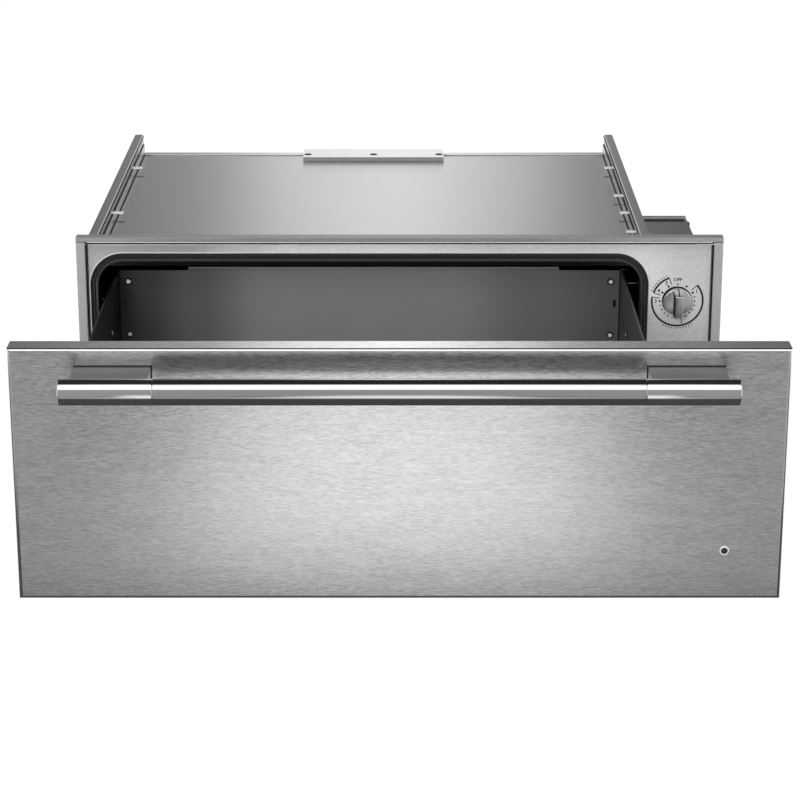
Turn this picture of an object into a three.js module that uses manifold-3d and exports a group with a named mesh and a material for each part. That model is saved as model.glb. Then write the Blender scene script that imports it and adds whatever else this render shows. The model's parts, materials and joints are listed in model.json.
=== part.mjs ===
// Built-in warming drawer with telescopic ball-bearing slides, drawn open.
//
// Millimetres. X runs along the front from left to right, Y goes into the cabinet and Z is up.
// The origin is on the centre line of the trim frame, in the plane of the cabinet face and at the
// level of the cutout floor, on which the chassis stands.
//
// The drawer, the slides and their ball cages are drawn where they are when the drawer is shut,
// and stand in groups that are moved out along -Y to the opening of the reference pose.

import * as THREE from "three";
import { mergeVertices } from "three/addons/utils/BufferGeometryUtils.js";
import Module from "manifold-3d";

const wasm = await Module();
wasm.setup();

// ---------------------------------------------------------------- driving dimensions

const GAP = 0.3; // between pieces that touch on the real object
const OVER = 1; // cutting shapes reach past a surface by this, and joined solids into each other

// Drawer box, on which the cavity, the chassis and the trim frame are built up
const BOX_WIDTH = 592.6;
const BOX_HEIGHT = 141.6;
const BOX_HEM = 8;
const BOX_CORNER_FLANGE = 18;
const BOX_FLOOR_FLANGE = 12;
const BOX_TOP_CLEAR = 20.7; // under the top panel
const BOX_FLOOR_CLEAR = 20.7; // over the cavity floor, where the heating element lies
const BOX_REAR_CLEAR = 20;
const FLOOR_STEP = { margin: 40, rise: 3 }; // raised middle of the drawer floor
const BACK_RAISE = 4;
const BACK_RAISE_WIDTH = 436;
const BACK_RAISE_SHIFT = 4.8;

// Telescopic slides
const SLIDE_HEIGHT = 45.7;
const SLIDE_THICKNESS = 12.7;
const SLIDE_LENGTH = 500;
const SLIDE_FRONT = 8; // front ends behind the cabinet face
const SLIDE_REAR_CLEAR = 12;
const SLIDE_RISE = 59; // axis above the floor of the drawer box
const SLIDE_SHEET = 1.2;
const SLIDE_LIP = 3.6;
const SLIDE_NEST = 0.5; // between nested webs
const SLIDE_PLATE = 1.5; // packing plate between liner and slide
const SLIDE_PLATE_MARGIN = 3; // of the slide's height left free of the plate, above and below
const BALL_DIAMETER = 3.7;
const BALLS_PER_ROW = 7;
const CAGE_SHEET = 0.6;
const CAGE_WING = 2.6; // from the ball's centre to the edge of the wing that carries it
const CAGE_LENGTH = 250;
const SLOT_PITCH = 160;
const SLOT = { length: 12, width: 5 };

// Cavity liner and the lagging round it
const LINER_WALL = 1;
const LINER_SILL = 1.3; // cavity floor above the edge of the mouth
const LINER_FLANGE_LAP = 0.2; // liner flange behind the edge of the mouth
const SIDE_LAGGING = 12.3; // from the liner to the outside of the chassis
const REAR_LAGGING = 24.7;

// Chassis, folded from sheet steel
const SHEET = 1.2;
const CHASSIS_SHIFT = -35.3; // the chassis sits left of the centre line, beside the controls
const CHASSIS_SETBACK = 1.5; // front edges of the sheets behind the cabinet face
const REAR_SPACE = 48; // from the back of the cavity to the outside of the rear panel
const SIDE_FLANGE = 11; // folded top of a side panel
const TOP_DROP = 26.3; // top panel below the folded tops of the sides
const TOP_TURNUP = 13; // edges of the top panel turned up against the sides
const PAN_TURNUP = 12;
const REAR_FLANGE = 12; // top edge of the rear panel folded over the top panel
const SIDE_TAB = { width: 6, drop: 6.5 };
const LEFT_TABS = { length: 15, places: [162, 400] }; // places from the cabinet face
const RIGHT_TABS = { length: 12, places: [71, 162, 249, 400] };

// Trim frame round the mouth
const RIM_MARGIN = 9.5; // beyond the left side of the chassis
const RIM_DEPTH = 15;
const RIM_RISE = 8; // above the folded tops of the sides
const RIM_DROP = 7; // below the cutout floor
const RIM_SIDE_FACE = 10;
const RIM_TOP_FACE = 5;
const RIM_BOTTOM_FACE = 6.4;
const RIM_FLANGE = 8.5; // rear flange of a side bar, on the cabinet face

// Face plate with the mouth and the controls
const PLATE_SETBACK = 13; // behind the front of the trim frame
const PLATE_GAP = 2; // dark groove beside the plate
const PLATE_TOP_GAP = 6.2; // groove above the plate, under the top bar
const PLATE_BOTTOM = 2;
const PLATE_RETURN = 8.8;
const PLATE_RELIEF = 3; // returns end below the top of the plate
const MOUTH_INSET = 3.55; // mouth narrower than the chassis on each side
const MOUTH_SHIFT = 0.65; // mouth right of the chassis centre
const MOUTH_TOP_BAND = 10.8;
const MOUTH_BOTTOM_BAND = 12;
const MOUTH_RADIUS = 37.5;

// Gasket in the mouth: a flat foot with an outer and an inner bead
const GASKET_WIDTH = 9;
const GASKET_STAND = 4.4; // ahead of the face plate
const GASKET_FOOT = 2.2;
const GASKET_OUTER_BEAD = { width: 4.6, round: 1.2 };
const GASKET_INNER_BEAD = { width: 3, round: 1 };
const GASKET_ROOT = 0.4; // rear faces of the beads ahead of the foot's rear face
const GASKET_STEP = 1; // inner bead behind the outer bead
const GASKET_CLEAR = 0.6; // left between gasket and shut drawer

// Heating element on the cavity floor
const ELEMENT_DIAMETER = 6.4;
const ELEMENT_RISE = 9; // axis above the cavity floor
const ELEMENT_RUNS = 6;
const ELEMENT_SIDE = 101.4; // from the cavity's side to the outermost run
const ELEMENT_FRONT = 60;
const ELEMENT_REAR = 70; // from the cavity's back to the bends
const ELEMENT_BEND = 25;
const ELEMENT_TAIL = 8; // ends in front of the outside of the rear panel
const TERMINAL_HOLE = 5; // radius of the holes that the tails leave by
const SADDLE_WIDTH = 10;
const SADDLE_FOOT = 8;
const SADDLE_PLACES = [0.3, 0.7]; // shares of the way from the front bends to the rear ones

// Thermostat bulb on the back of the cavity
const BULB_DIAMETER = 6;
const BULB_LENGTH = 140;
const BULB_HEIGHT = 150;
const BULB_STANDOFF = 7;
const BULB_RING_HALF = 4;
const BULB_RING_REACH = 42; // from the middle of the bulb to the middle of a ring
const BULB_TUBE = { radius: 1.2, length: 18 };

// Control box right of the chassis
const CONTROL_WIDTH = 54.9;
const CONTROL_DEPTH = 155.5;
const CONTROL_GAP = 0.8; // beside the chassis
const CONTROL_BOTTOM = 20;
const CONTROL_DROP = 9.4; // top of the box below the top of the plate
const CONTROL_LIP = 3.2; // rear wall above the cover
const COVER_LIP = 8;
const KNOB_RIGHT = 31.1; // knob axis right of the chassis
const KNOB_DROP = 67.6; // knob axis below the top of the plate
const LAMP_RIGHT = 30.6;
const LAMP_RISE = 39.9; // above the bottom of the plate
const LAMP_RADIUS = 4.6;
const LAMP_LENGTH = 26;
const LAMP_COLLAR = 2;
const THERMOSTAT = { width: 34, height: 40, depth: 24, bush: 8, neck: 6, hub: 24, hubDepth: 6 };

// Knob
const KNOB_RADIUS = 16.5;
const KNOB_DISC = 6;
const KNOB_FLAT = 9.9; // radius of the flat middle of the disc
const KNOB_FALL = 0.8; // of the disc's face towards its rim
const KNOB_ROUND = 1;
const KNOB_HEIGHT = 20; // front of the grip ahead of the plate
const KNOB_GAP = 1;
const GRIP_WIDTH = 9.5;
const GRIP_CORNER = 3;
const POINTER = { width: 2, length: 7, depth: 3 };
const SHAFT_RADIUS = 3;
const SHAFT_CLEAR = 1; // round the shaft in the face plate
const SHAFT_FLAT = 1.8; // from the axis to the flat
const SHAFT_IN_KNOB = 6;
const SHAFT_IN_BODY = 14;

// Rear bracket for the fixing screws
const BRACKET_WIDTH = 189;
const BRACKET_DEPTH = 48;
const BRACKET_LIFT = 4.4;
const BRACKET_SHEET = 1.5;
const BRACKET_LEG = 26;
const BRACKET_HOLE_EDGE = 1.5; // metal between an outer hole and the end
const BRACKET_HOLE_BACK = 17;
const BRACKET_HOLE_RADIUS = 4.6;

// Mains inlet in the rear panel
const INLET_INSET = 89.7; // inside the right side of the chassis
const INLET_Z = 60;
const INLET = { bore: 8, wall: 2, flange: 5, tail: 6, nose: 5, round: 1 };
const TERMINAL_LEFT = 55; // middle of the block left of the inlet
const TERMINAL = { width: 44, height: 22, depth: 8 };
const BARREL = { width: 10, height: 16, depth: 15, pitch: 14 };

// Drawer front
const FRONT_OVERHANG = 8.35; // beyond the trim frame on each side
const FRONT_RISE = 12.9; // above the trim frame
const FRONT_DROP = 3.1; // below the trim frame
const FRONT_THICKNESS = 27.5;
const FRONT_GAP = 2; // between the shut front and the trim frame
const FRONT_LIP = 30; // edges of the front skin folded in behind
const INNER_PANEL_CLEAR = 2; // inner panel inside the trim frame
const FIELD_MARGIN = 1; // raised field outside the mouth
const KNOB_WINDOW = { width: 45, height: 46 };
const PAD_CLEAR = 15; // lagging pad inside the raised field

// Handle
const HANDLE_DIAMETER = 25.4;
const HANDLE_INSET = 55.85; // ends of the bar inside the sides of the front
const HANDLE_SLEEVE = 90;
const HANDLE_STANDOFF = 50; // axis ahead of the drawer front
const HANDLE_DROP = 26.7; // axis below the top of the front
const HANDLE_CHAMFER = 2;
const SPIGOT = { length: 8, radius: 9 }; // turned-down end of the bar inside a sleeve
const HANDLE_FOOT = { width: 73.6, height: 19, inset: 9.4, corner: 3 };
const STUD = { pitch: 40, radius: 2.5, root: 6, beyond: 2 };
const NUT_PLATE = { thickness: 2, height: 16, margin: 9 };
const NUT = { radius: 4.6, height: 4 };

// Light pipe of the drawer front
const PIPE_RADIUS = 3;
const PIPE_PROUD = 0.4;
const BEZEL_RADIUS = 5;
const BEZEL_WALL = 1;
const BEZEL_LIP = 0.8;
const BEZEL_LENGTH = 5;

const OPENING = 440; // drawer travel from shut to the reference pose

// ---------------------------------------------------------------- derived planes

// Half widths from the drawer box outwards
const BOX_HALF = BOX_WIDTH / 2;
const BOX_INNER = BOX_HALF - SHEET;
const SLIDE_WALL = BOX_HALF + GAP + SLIDE_THICKNESS;
const LINER_INNER = SLIDE_WALL + GAP + SLIDE_PLATE + GAP;
const LINER_HALF = LINER_INNER + LINER_WALL;
const CHASSIS_HALF = LINER_HALF + SIDE_LAGGING;
const HEM_HALF = CHASSIS_HALF - SIDE_FLANGE;
const CHASSIS_LEFT = CHASSIS_SHIFT - CHASSIS_HALF;
const CHASSIS_RIGHT = CHASSIS_SHIFT + CHASSIS_HALF;
const RIM_HALF = RIM_MARGIN - CHASSIS_LEFT;
const RIM_INNER = RIM_HALF - RIM_SIDE_FACE;
const PLATE_HALF = RIM_INNER - PLATE_GAP;
const FRONT_HALF = RIM_HALF + FRONT_OVERHANG;

// Heights from the face plate's bottom upwards
const MOUTH_BOTTOM = PLATE_BOTTOM + MOUTH_BOTTOM_BAND;
const LINER_FLOOR = MOUTH_BOTTOM + LINER_SILL;
const LINER_BOTTOM = LINER_FLOOR - LINER_WALL;
const BOX_LEVEL = LINER_FLOOR + BOX_FLOOR_CLEAR;
const SLIDE_LEVEL = BOX_LEVEL + SLIDE_RISE;
const BOX_TOP = BOX_LEVEL + BOX_HEIGHT;
const TOP_LEVEL = BOX_TOP + BACK_RAISE + BOX_TOP_CLEAR;
const LINER_TOP = TOP_LEVEL - SHEET - GAP;
const CHASSIS_HEIGHT = TOP_LEVEL + TOP_DROP;
const RIM_TOP = CHASSIS_HEIGHT + RIM_RISE;
const RIM_BOTTOM = -RIM_DROP;
const PLATE_TOP = RIM_TOP - RIM_TOP_FACE - PLATE_TOP_GAP;
const MOUTH_TOP = PLATE_TOP - MOUTH_TOP_BAND;
const FRONT_TOP = RIM_TOP + FRONT_RISE;
const FRONT_BOTTOM = RIM_BOTTOM - FRONT_DROP;
const HANDLE_LEVEL = FRONT_TOP - HANDLE_DROP;
const CONTROL_TOP = PLATE_TOP - CONTROL_DROP;

// Depths from the front of the trim frame, with the drawer shut
const RIM_FRONT = -RIM_DEPTH;
const PLATE_FRONT = RIM_FRONT + PLATE_SETBACK;
const PLATE_BACK = PLATE_FRONT + SHEET;
const LINER_FRONT = PLATE_BACK + GAP;
const LAGGING_FRONT = PLATE_BACK + PLATE_RETURN + PLATE_GAP;
const GASKET_FRONT = PLATE_FRONT - GASKET_STAND;
const FIELD_BACK = GASKET_FRONT - GASKET_CLEAR;
const FRONT_BACK = RIM_FRONT - FRONT_GAP;
const FRONT_FACE = FRONT_BACK - FRONT_THICKNESS;
const PANEL_FRONT = FRONT_BACK + GAP;
const PANEL_BACK = PANEL_FRONT + SHEET;
const SLIDE_BACK = SLIDE_FRONT + SLIDE_LENGTH;
const LINER_DEPTH = SLIDE_BACK + SLIDE_REAR_CLEAR;
const BOX_FRONT = FIELD_BACK + GAP;
const BOX_INSIDE = BOX_FRONT + SHEET;
const BOX_BACK = LINER_DEPTH - BOX_REAR_CLEAR;
const REAR_FACE = LINER_DEPTH + REAR_SPACE;
const REAR_INSIDE = REAR_FACE - SHEET;

const MOUTH_X = CHASSIS_SHIFT + MOUTH_SHIFT;
const MOUTH_HALF = CHASSIS_HALF - MOUTH_INSET;

const CONTROL_X = CHASSIS_RIGHT + KNOB_RIGHT;
const CONTROL_Z = PLATE_TOP - KNOB_DROP;
const LAMP_X = CHASSIS_RIGHT + LAMP_RIGHT;
const LAMP_Z = PLATE_BOTTOM + LAMP_RISE;
const INLET_X = CHASSIS_RIGHT - INLET_INSET;

const ELEMENT_LEVEL = LINER_FLOOR + ELEMENT_RISE;
const ELEMENT_HALF = LINER_INNER - ELEMENT_SIDE;
const ELEMENT_PITCH = (2 * ELEMENT_HALF) / (ELEMENT_RUNS - 1);
const ELEMENT_BACK = LINER_DEPTH - ELEMENT_REAR;

const HANDLE_AXIS = FRONT_FACE - HANDLE_STANDOFF;
const HANDLE_RADIUS = HANDLE_DIAMETER / 2;
const HANDLE_HALF = FRONT_HALF - HANDLE_INSET;
const SLEEVE_INNER = HANDLE_HALF - HANDLE_SLEEVE;
const FOOT_X = HANDLE_HALF - HANDLE_FOOT.inset - HANDLE_FOOT.width / 2;
const STUD_END = FRONT_FACE + SHEET + NUT_PLATE.thickness + NUT.height + STUD.beyond;

const KNOB_BACK = PLATE_FRONT - KNOB_GAP;
const KNOB_FRONT = PLATE_FRONT - KNOB_HEIGHT;
const DISC_FRONT = KNOB_BACK - KNOB_DISC;

// ---------------------------------------------------------------- building blocks

// Turns an extrusion's own axes (outline x, outline y, depth) onto the part's axes.
const ONTO_X = new THREE.Matrix4().makeBasis(
  new THREE.Vector3(0, 1, 0),
  new THREE.Vector3(0, 0, 1),
  new THREE.Vector3(1, 0, 0),
);
const ONTO_Y = new THREE.Matrix4().makeBasis(
  new THREE.Vector3(1, 0, 0),
  new THREE.Vector3(0, 0, 1),
  new THREE.Vector3(0, -1, 0),
);

function outline(points) {
  return new THREE.Shape(points.map(([x, y]) => new THREE.Vector2(x, y)));
}

function extrude(shape, depth, curveSegments = 8) {
  return new THREE.ExtrudeGeometry(shape, { depth, bevelEnabled: false, curveSegments });
}

// outline in Y and Z, extruded along X
function extrudeX(shape, x0, x1, curveSegments) {
  return extrude(shape, x1 - x0, curveSegments).applyMatrix4(ONTO_X).translate(x0, 0, 0);
}

// outline in X and Z, extruded along Y
function extrudeY(shape, y0, y1, curveSegments) {
  return extrude(shape, y1 - y0, curveSegments).applyMatrix4(ONTO_Y).translate(0, y1, 0);
}

// outline in X and Y, extruded along Z
function extrudeZ(shape, z0, z1, curveSegments) {
  return extrude(shape, z1 - z0, curveSegments).translate(0, 0, z0);
}

function box(x0, x1, y0, y1, z0, z1) {
  const geometry = new THREE.BoxGeometry(Math.abs(x1 - x0), Math.abs(y1 - y0), Math.abs(z1 - z0));
  return geometry.translate((x0 + x1) / 2, (y0 + y1) / 2, (z0 + z1) / 2);
}

function rodX(y, z, radius, x0, x1, sides = 24) {
  const rod = new THREE.CylinderGeometry(radius, radius, Math.abs(x1 - x0), sides);
  return rod.rotateZ(Math.PI / 2).translate((x0 + x1) / 2, y, z);
}

function rodY(x, z, radius, y0, y1, sides = 20) {
  const rod = new THREE.CylinderGeometry(radius, radius, Math.abs(y1 - y0), sides);
  return rod.translate(x, (y0 + y1) / 2, z);
}

function rodZ(x, y, radius, z0, z1, sides = 20) {
  const rod = new THREE.CylinderGeometry(radius, radius, Math.abs(z1 - z0), sides);
  return rod.rotateX(Math.PI / 2).translate(x, y, (z0 + z1) / 2);
}

// Rounded rectangle in X and Z, grown by `grow` on every side.
function roundedRect(x0, x1, z0, z1, radius, grow = 0) {
  const r = Math.max(radius + grow, 0.5);
  const [left, right, low, high] = [x0 - grow, x1 + grow, z0 - grow, z1 + grow];
  const shape = new THREE.Shape();
  shape.moveTo(left + r, low);
  shape.lineTo(right - r, low);
  shape.absarc(right - r, low + r, r, -Math.PI / 2, 0, false);
  shape.lineTo(right, high - r);
  shape.absarc(right - r, high - r, r, 0, Math.PI / 2, false);
  shape.lineTo(left + r, high);
  shape.absarc(left + r, high - r, r, Math.PI / 2, Math.PI, false);
  shape.lineTo(left, low + r);
  shape.absarc(left + r, low + r, r, Math.PI, 1.5 * Math.PI, false);
  return shape;
}

function mouthOutline(grow) {
  const [left, right] = [MOUTH_X - MOUTH_HALF, MOUTH_X + MOUTH_HALF];
  return roundedRect(left, right, MOUTH_BOTTOM, MOUTH_TOP, MOUTH_RADIUS, grow);
}

function toSolid(geometry) {
  const bare = geometry.clone();
  bare.deleteAttribute("normal");
  bare.deleteAttribute("uv");
  const merged = mergeVertices(bare, 1e-4);
  return new wasm.Manifold(
    new wasm.Mesh({
      numProp: 3,
      vertProperties: new Float32Array(merged.attributes.position.array),
      triVerts: new Uint32Array(merged.index.array),
    }),
  );
}

function toGeometry(solid) {
  const mesh = solid.getMesh();
  const geometry = new THREE.BufferGeometry();
  const vertices = new THREE.BufferAttribute(new Float32Array(mesh.vertProperties), 3);
  geometry.setAttribute("position", vertices);
  geometry.setIndex(new THREE.BufferAttribute(new Uint32Array(mesh.triVerts), 1));
  return geometry;
}

function join(...geometries) {
  return toGeometry(geometries.map(toSolid).reduce((whole, piece) => whole.add(piece)));
}

function cut(geometry, ...tools) {
  return toGeometry(tools.map(toSolid).reduce((left, tool) => left.subtract(tool), toSolid(geometry)));
}

// X of a place `u` from the middle of the chassis, on the left (-1) or right (1).
const across = (side, u) => CHASSIS_SHIFT + side * u;

// Folded channel: a web from `low` to `high` along b at a = web, with flanges towards `open`
// and lips of height `lip` at their ends. Pairs are [a, b].
function channel(web, open, low, high, wall, lip = wall) {
  const w = Math.sign(open - web) * wall;
  return [
    [web, low],
    [open, low],
    [open, low + lip],
    [open - w, low + lip],
    [open - w, low + wall],
    [web + w, low + wall],
    [web + w, high - wall],
    [open - w, high - wall],
    [open - w, high - lip],
    [open, high - lip],
    [open, high],
    [web, high],
  ];
}

// ---------------------------------------------------------------- trim frame and face plate

// The bars are channels that open towards the plate: outer wall, front face and rear flange.
function barSection(outer, inner, flangeEnd) {
  const w = Math.sign(inner - outer) * SHEET;
  return [
    [outer, RIM_FRONT],
    [inner, RIM_FRONT],
    [inner, RIM_FRONT + SHEET],
    [outer + w, RIM_FRONT + SHEET],
    [outer + w, -SHEET],
    [flangeEnd, -SHEET],
    [flangeEnd, 0],
    [outer, 0],
  ];
}

function sideBar(side) {
  const section = barSection(side * RIM_HALF, side * RIM_INNER, side * (RIM_HALF - RIM_FLANGE));
  const low = RIM_BOTTOM + RIM_BOTTOM_FACE + GAP;
  const high = RIM_TOP - RIM_TOP_FACE - GAP;
  return extrudeZ(outline(section), low, high);
}

// Top and bottom bars run across the side bars, and their rear flange is notched round them.
function crossBar(outer, inner, flangeEnd) {
  const section = barSection(outer, inner, flangeEnd).map(([z, y]) => [y, z]);
  const bar = extrudeX(outline(section), -RIM_HALF, RIM_HALF);
  const past = flangeEnd + Math.sign(flangeEnd - inner) * OVER;
  const notches = [-1, 1].map((side) => {
    const [x0, x1] = [side * (PLATE_HALF - GAP), side * (RIM_HALF + OVER)];
    return box(x0, x1, -SHEET - OVER, OVER, inner, past);
  });
  return cut(bar, ...notches);
}

const topBar = () => crossBar(RIM_TOP, RIM_TOP - RIM_TOP_FACE, PLATE_TOP + GAP);
const bottomBar = () => crossBar(RIM_BOTTOM, RIM_BOTTOM + RIM_BOTTOM_FACE, PLATE_BOTTOM - GAP);

function facePlate() {
  const sheet = outline([
    [-PLATE_HALF, PLATE_BOTTOM],
    [PLATE_HALF, PLATE_BOTTOM],
    [PLATE_HALF, PLATE_TOP],
    [-PLATE_HALF, PLATE_TOP],
  ]);
  sheet.holes.push(mouthOutline(0));
  const [low, high] = [PAN_TURNUP + 2 * GAP, PLATE_TOP - PLATE_RELIEF];
  const [front, back] = [PLATE_FRONT + SHEET / 2, PLATE_BACK + PLATE_RETURN];
  const returns = [-1, 1].map((side) =>
    box(side * PLATE_HALF, side * (PLATE_HALF - SHEET), front, back, low, high),
  );
  const [y0, y1] = [PLATE_FRONT - OVER, PLATE_BACK + OVER];
  return cut(
    join(extrudeY(sheet, PLATE_FRONT, PLATE_BACK, 10), ...returns),
    rodY(CONTROL_X, CONTROL_Z, SHAFT_RADIUS + SHAFT_CLEAR, y0, y1),
    rodY(LAMP_X, LAMP_Z, LAMP_RADIUS + GAP, y0, y1),
  );
}

// A bead inside the mouth with rounded edges.
function mouthRing(outerInset, { width, round }, y0, y1) {
  const ring = mouthOutline(-outerInset);
  ring.holes.push(mouthOutline(-outerInset - width));
  const geometry = new THREE.ExtrudeGeometry(ring, {
    depth: y1 - y0 - 2 * round,
    bevelEnabled: true,
    bevelThickness: round,
    bevelSize: round,
    bevelOffset: -round,
    bevelSegments: 2,
    curveSegments: 6,
  });
  return geometry.applyMatrix4(ONTO_Y).translate(0, y1 - round, 0);
}

function mouthGasket() {
  const back = PLATE_BACK;
  const foot = mouthOutline(-GAP);
  foot.holes.push(mouthOutline(-GASKET_WIDTH));
  const footFront = back - GASKET_FOOT;
  const innerFront = GASKET_FRONT + GASKET_STEP;
  const innerInset = GASKET_WIDTH - GASKET_INNER_BEAD.width;
  return join(
    extrudeY(foot, footFront, back, 6),
    mouthRing(GAP, GASKET_OUTER_BEAD, GASKET_FRONT, back - GASKET_ROOT),
    mouthRing(innerInset, GASKET_INNER_BEAD, innerFront, back - GASKET_ROOT),
  );
}

// ---------------------------------------------------------------- chassis

function sidePanel(side, tabs) {
  const foldBottom = TOP_LEVEL - SHEET + GAP;
  const section = [
    [across(side, CHASSIS_HALF), 0],
    [across(side, CHASSIS_HALF), CHASSIS_HEIGHT],
    [across(side, HEM_HALF), CHASSIS_HEIGHT],
    [across(side, HEM_HALF), foldBottom],
    [across(side, HEM_HALF + SHEET), foldBottom],
    [across(side, HEM_HALF + SHEET), CHASSIS_HEIGHT - SHEET],
    [across(side, CHASSIS_HALF - SHEET), CHASSIS_HEIGHT - SHEET],
    [across(side, CHASSIS_HALF - SHEET), 0],
  ];
  const panel = extrudeY(outline(section), CHASSIS_SETBACK, REAR_FACE);
  const tabTop = CHASSIS_HEIGHT - SIDE_TAB.drop;
  const [root, tip] = [across(side, HEM_HALF + SHEET / 2), across(side, HEM_HALF - tabs.length)];
  const pieces = tabs.places.map((y) => {
    const [y0, y1] = [y - SIDE_TAB.width / 2, y + SIDE_TAB.width / 2];
    return box(root, tip, y0, y1, tabTop - SHEET, tabTop);
  });
  return join(panel, ...pieces);
}

// Sheet with both long edges turned up, `half` wide on each side of the chassis centre.
function tray(half, level, turnup) {
  const [left, right] = [across(-1, half), across(1, half)];
  const section = [
    [left, level],
    [right, level],
    [right, level + turnup],
    [right - SHEET, level + turnup],
    [right - SHEET, level + SHEET],
    [left + SHEET, level + SHEET],
    [left + SHEET, level + turnup],
    [left, level + turnup],
  ];
  return extrudeY(outline(section), CHASSIS_SETBACK, REAR_INSIDE - GAP);
}

const topPanel = () => tray(HEM_HALF - GAP, TOP_LEVEL - SHEET, TOP_TURNUP + SHEET);
const basePan = () => tray(CHASSIS_HALF - SHEET - GAP, 0, PAN_TURNUP);

function rearPanel() {
  const half = CHASSIS_HALF - SHEET - GAP;
  const narrow = HEM_HALF - GAP - SHEET - GAP;
  const wallTop = TOP_LEVEL - SHEET;
  const lapTop = TOP_LEVEL + GAP + SHEET;
  const wall = box(across(-1, half), across(1, half), REAR_INSIDE, REAR_FACE, SHEET + GAP, wallTop);
  const [left, right] = [across(-1, narrow), across(1, narrow)];
  const neck = box(left, right, REAR_INSIDE, REAR_FACE, wallTop - OVER, lapTop);
  const lap = box(left, right, REAR_FACE - REAR_FLANGE, REAR_FACE, lapTop - SHEET, lapTop);
  const inlet = INLET.bore + INLET.wall + GAP;
  return cut(
    join(wall, neck, lap),
    rodY(INLET_X, INLET_Z, inlet, REAR_INSIDE - OVER, REAR_FACE + OVER),
  );
}

// Hat over the rear edge: front lip on the top panel, rear leg down the rear panel, three holes.
function rearBracket() {
  const half = BRACKET_WIDTH / 2;
  const front = REAR_FACE - BRACKET_DEPTH;
  const back = REAR_FACE + GAP + BRACKET_SHEET;
  const low = TOP_LEVEL + BRACKET_LIFT;
  const high = low + BRACKET_SHEET;
  const section = [
    [front, TOP_LEVEL + GAP],
    [front, high],
    [back, high],
    [back, high - BRACKET_LEG],
    [back - BRACKET_SHEET, high - BRACKET_LEG],
    [back - BRACKET_SHEET, low],
    [front + BRACKET_SHEET, low],
    [front + BRACKET_SHEET, TOP_LEVEL + GAP],
  ];
  const bracket = extrudeX(outline(section), across(-1, half), across(1, half));
  const pitch = half - BRACKET_HOLE_EDGE - BRACKET_HOLE_RADIUS;
  const holes = [-1, 0, 1].map((i) => {
    const [x, y] = [CHASSIS_SHIFT + i * pitch, front + BRACKET_HOLE_BACK];
    return rodZ(x, y, BRACKET_HOLE_RADIUS, low - OVER, high + OVER, 16);
  });
  return cut(bracket, ...holes);
}

// ---------------------------------------------------------------- liner and lagging

function rectangle(x0, x1, z0, z1) {
  return outline([
    [x0, z0],
    [x1, z0],
    [x1, z1],
    [x0, z1],
  ]);
}

// Folded sleeve of the cavity with a flange round its mouth, on which the gasket seats.
function linerSleeve() {
  const [left, right] = [across(-1, LINER_INNER), across(1, LINER_INNER)];
  const inner = () => rectangle(left, right, LINER_FLOOR, LINER_TOP - LINER_WALL);
  const sleeve = rectangle(across(-1, LINER_HALF), across(1, LINER_HALF), LINER_BOTTOM, LINER_TOP);
  sleeve.holes.push(inner());
  const reach = MOUTH_HALF + LINER_FLANGE_LAP;
  const [low, high] = [MOUTH_BOTTOM - LINER_FLANGE_LAP, MOUTH_TOP + LINER_FLANGE_LAP];
  const flange = rectangle(MOUTH_X - reach, MOUTH_X + reach, low, high);
  flange.holes.push(inner());
  return join(
    extrudeY(sleeve, LINER_FRONT, LINER_DEPTH - GAP),
    extrudeY(flange, LINER_FRONT, LINER_FRONT + SHEET),
  );
}

const elementHoles = (y0, y1) =>
  [-1, 1].map((end) => rodY(across(end, ELEMENT_HALF), ELEMENT_LEVEL, TERMINAL_HOLE, y0, y1, 12));

function linerBack() {
  const [y0, y1] = [LINER_DEPTH, LINER_DEPTH + LINER_WALL];
  const sheet = box(across(-1, LINER_HALF), across(1, LINER_HALF), y0, y1, LINER_BOTTOM, LINER_TOP);
  return cut(sheet, ...elementHoles(y0 - OVER, y1 + OVER));
}

function rearLagging() {
  const [y0, y1] = [LINER_DEPTH + LINER_WALL + GAP, LINER_DEPTH + LINER_WALL + GAP + REAR_LAGGING];
  const pad = box(across(-1, LINER_HALF), across(1, LINER_HALF), y0, y1, LINER_BOTTOM, LINER_TOP);
  return cut(pad, ...elementHoles(y0 - OVER, y1 + OVER));
}

function sideLagging(side) {
  const [outer, inner] = [across(side, CHASSIS_HALF - SHEET - GAP), across(side, LINER_HALF + GAP)];
  return box(outer, inner, LAGGING_FRONT, LINER_DEPTH, PAN_TURNUP + GAP, LINER_TOP - GAP);
}

function baseLagging() {
  const [x0, x1] = [across(-1, LINER_HALF), across(1, LINER_HALF)];
  return box(x0, x1, LAGGING_FRONT, LINER_DEPTH, SHEET + GAP, LINER_BOTTOM - GAP);
}

// ---------------------------------------------------------------- heating element and bulb

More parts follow.
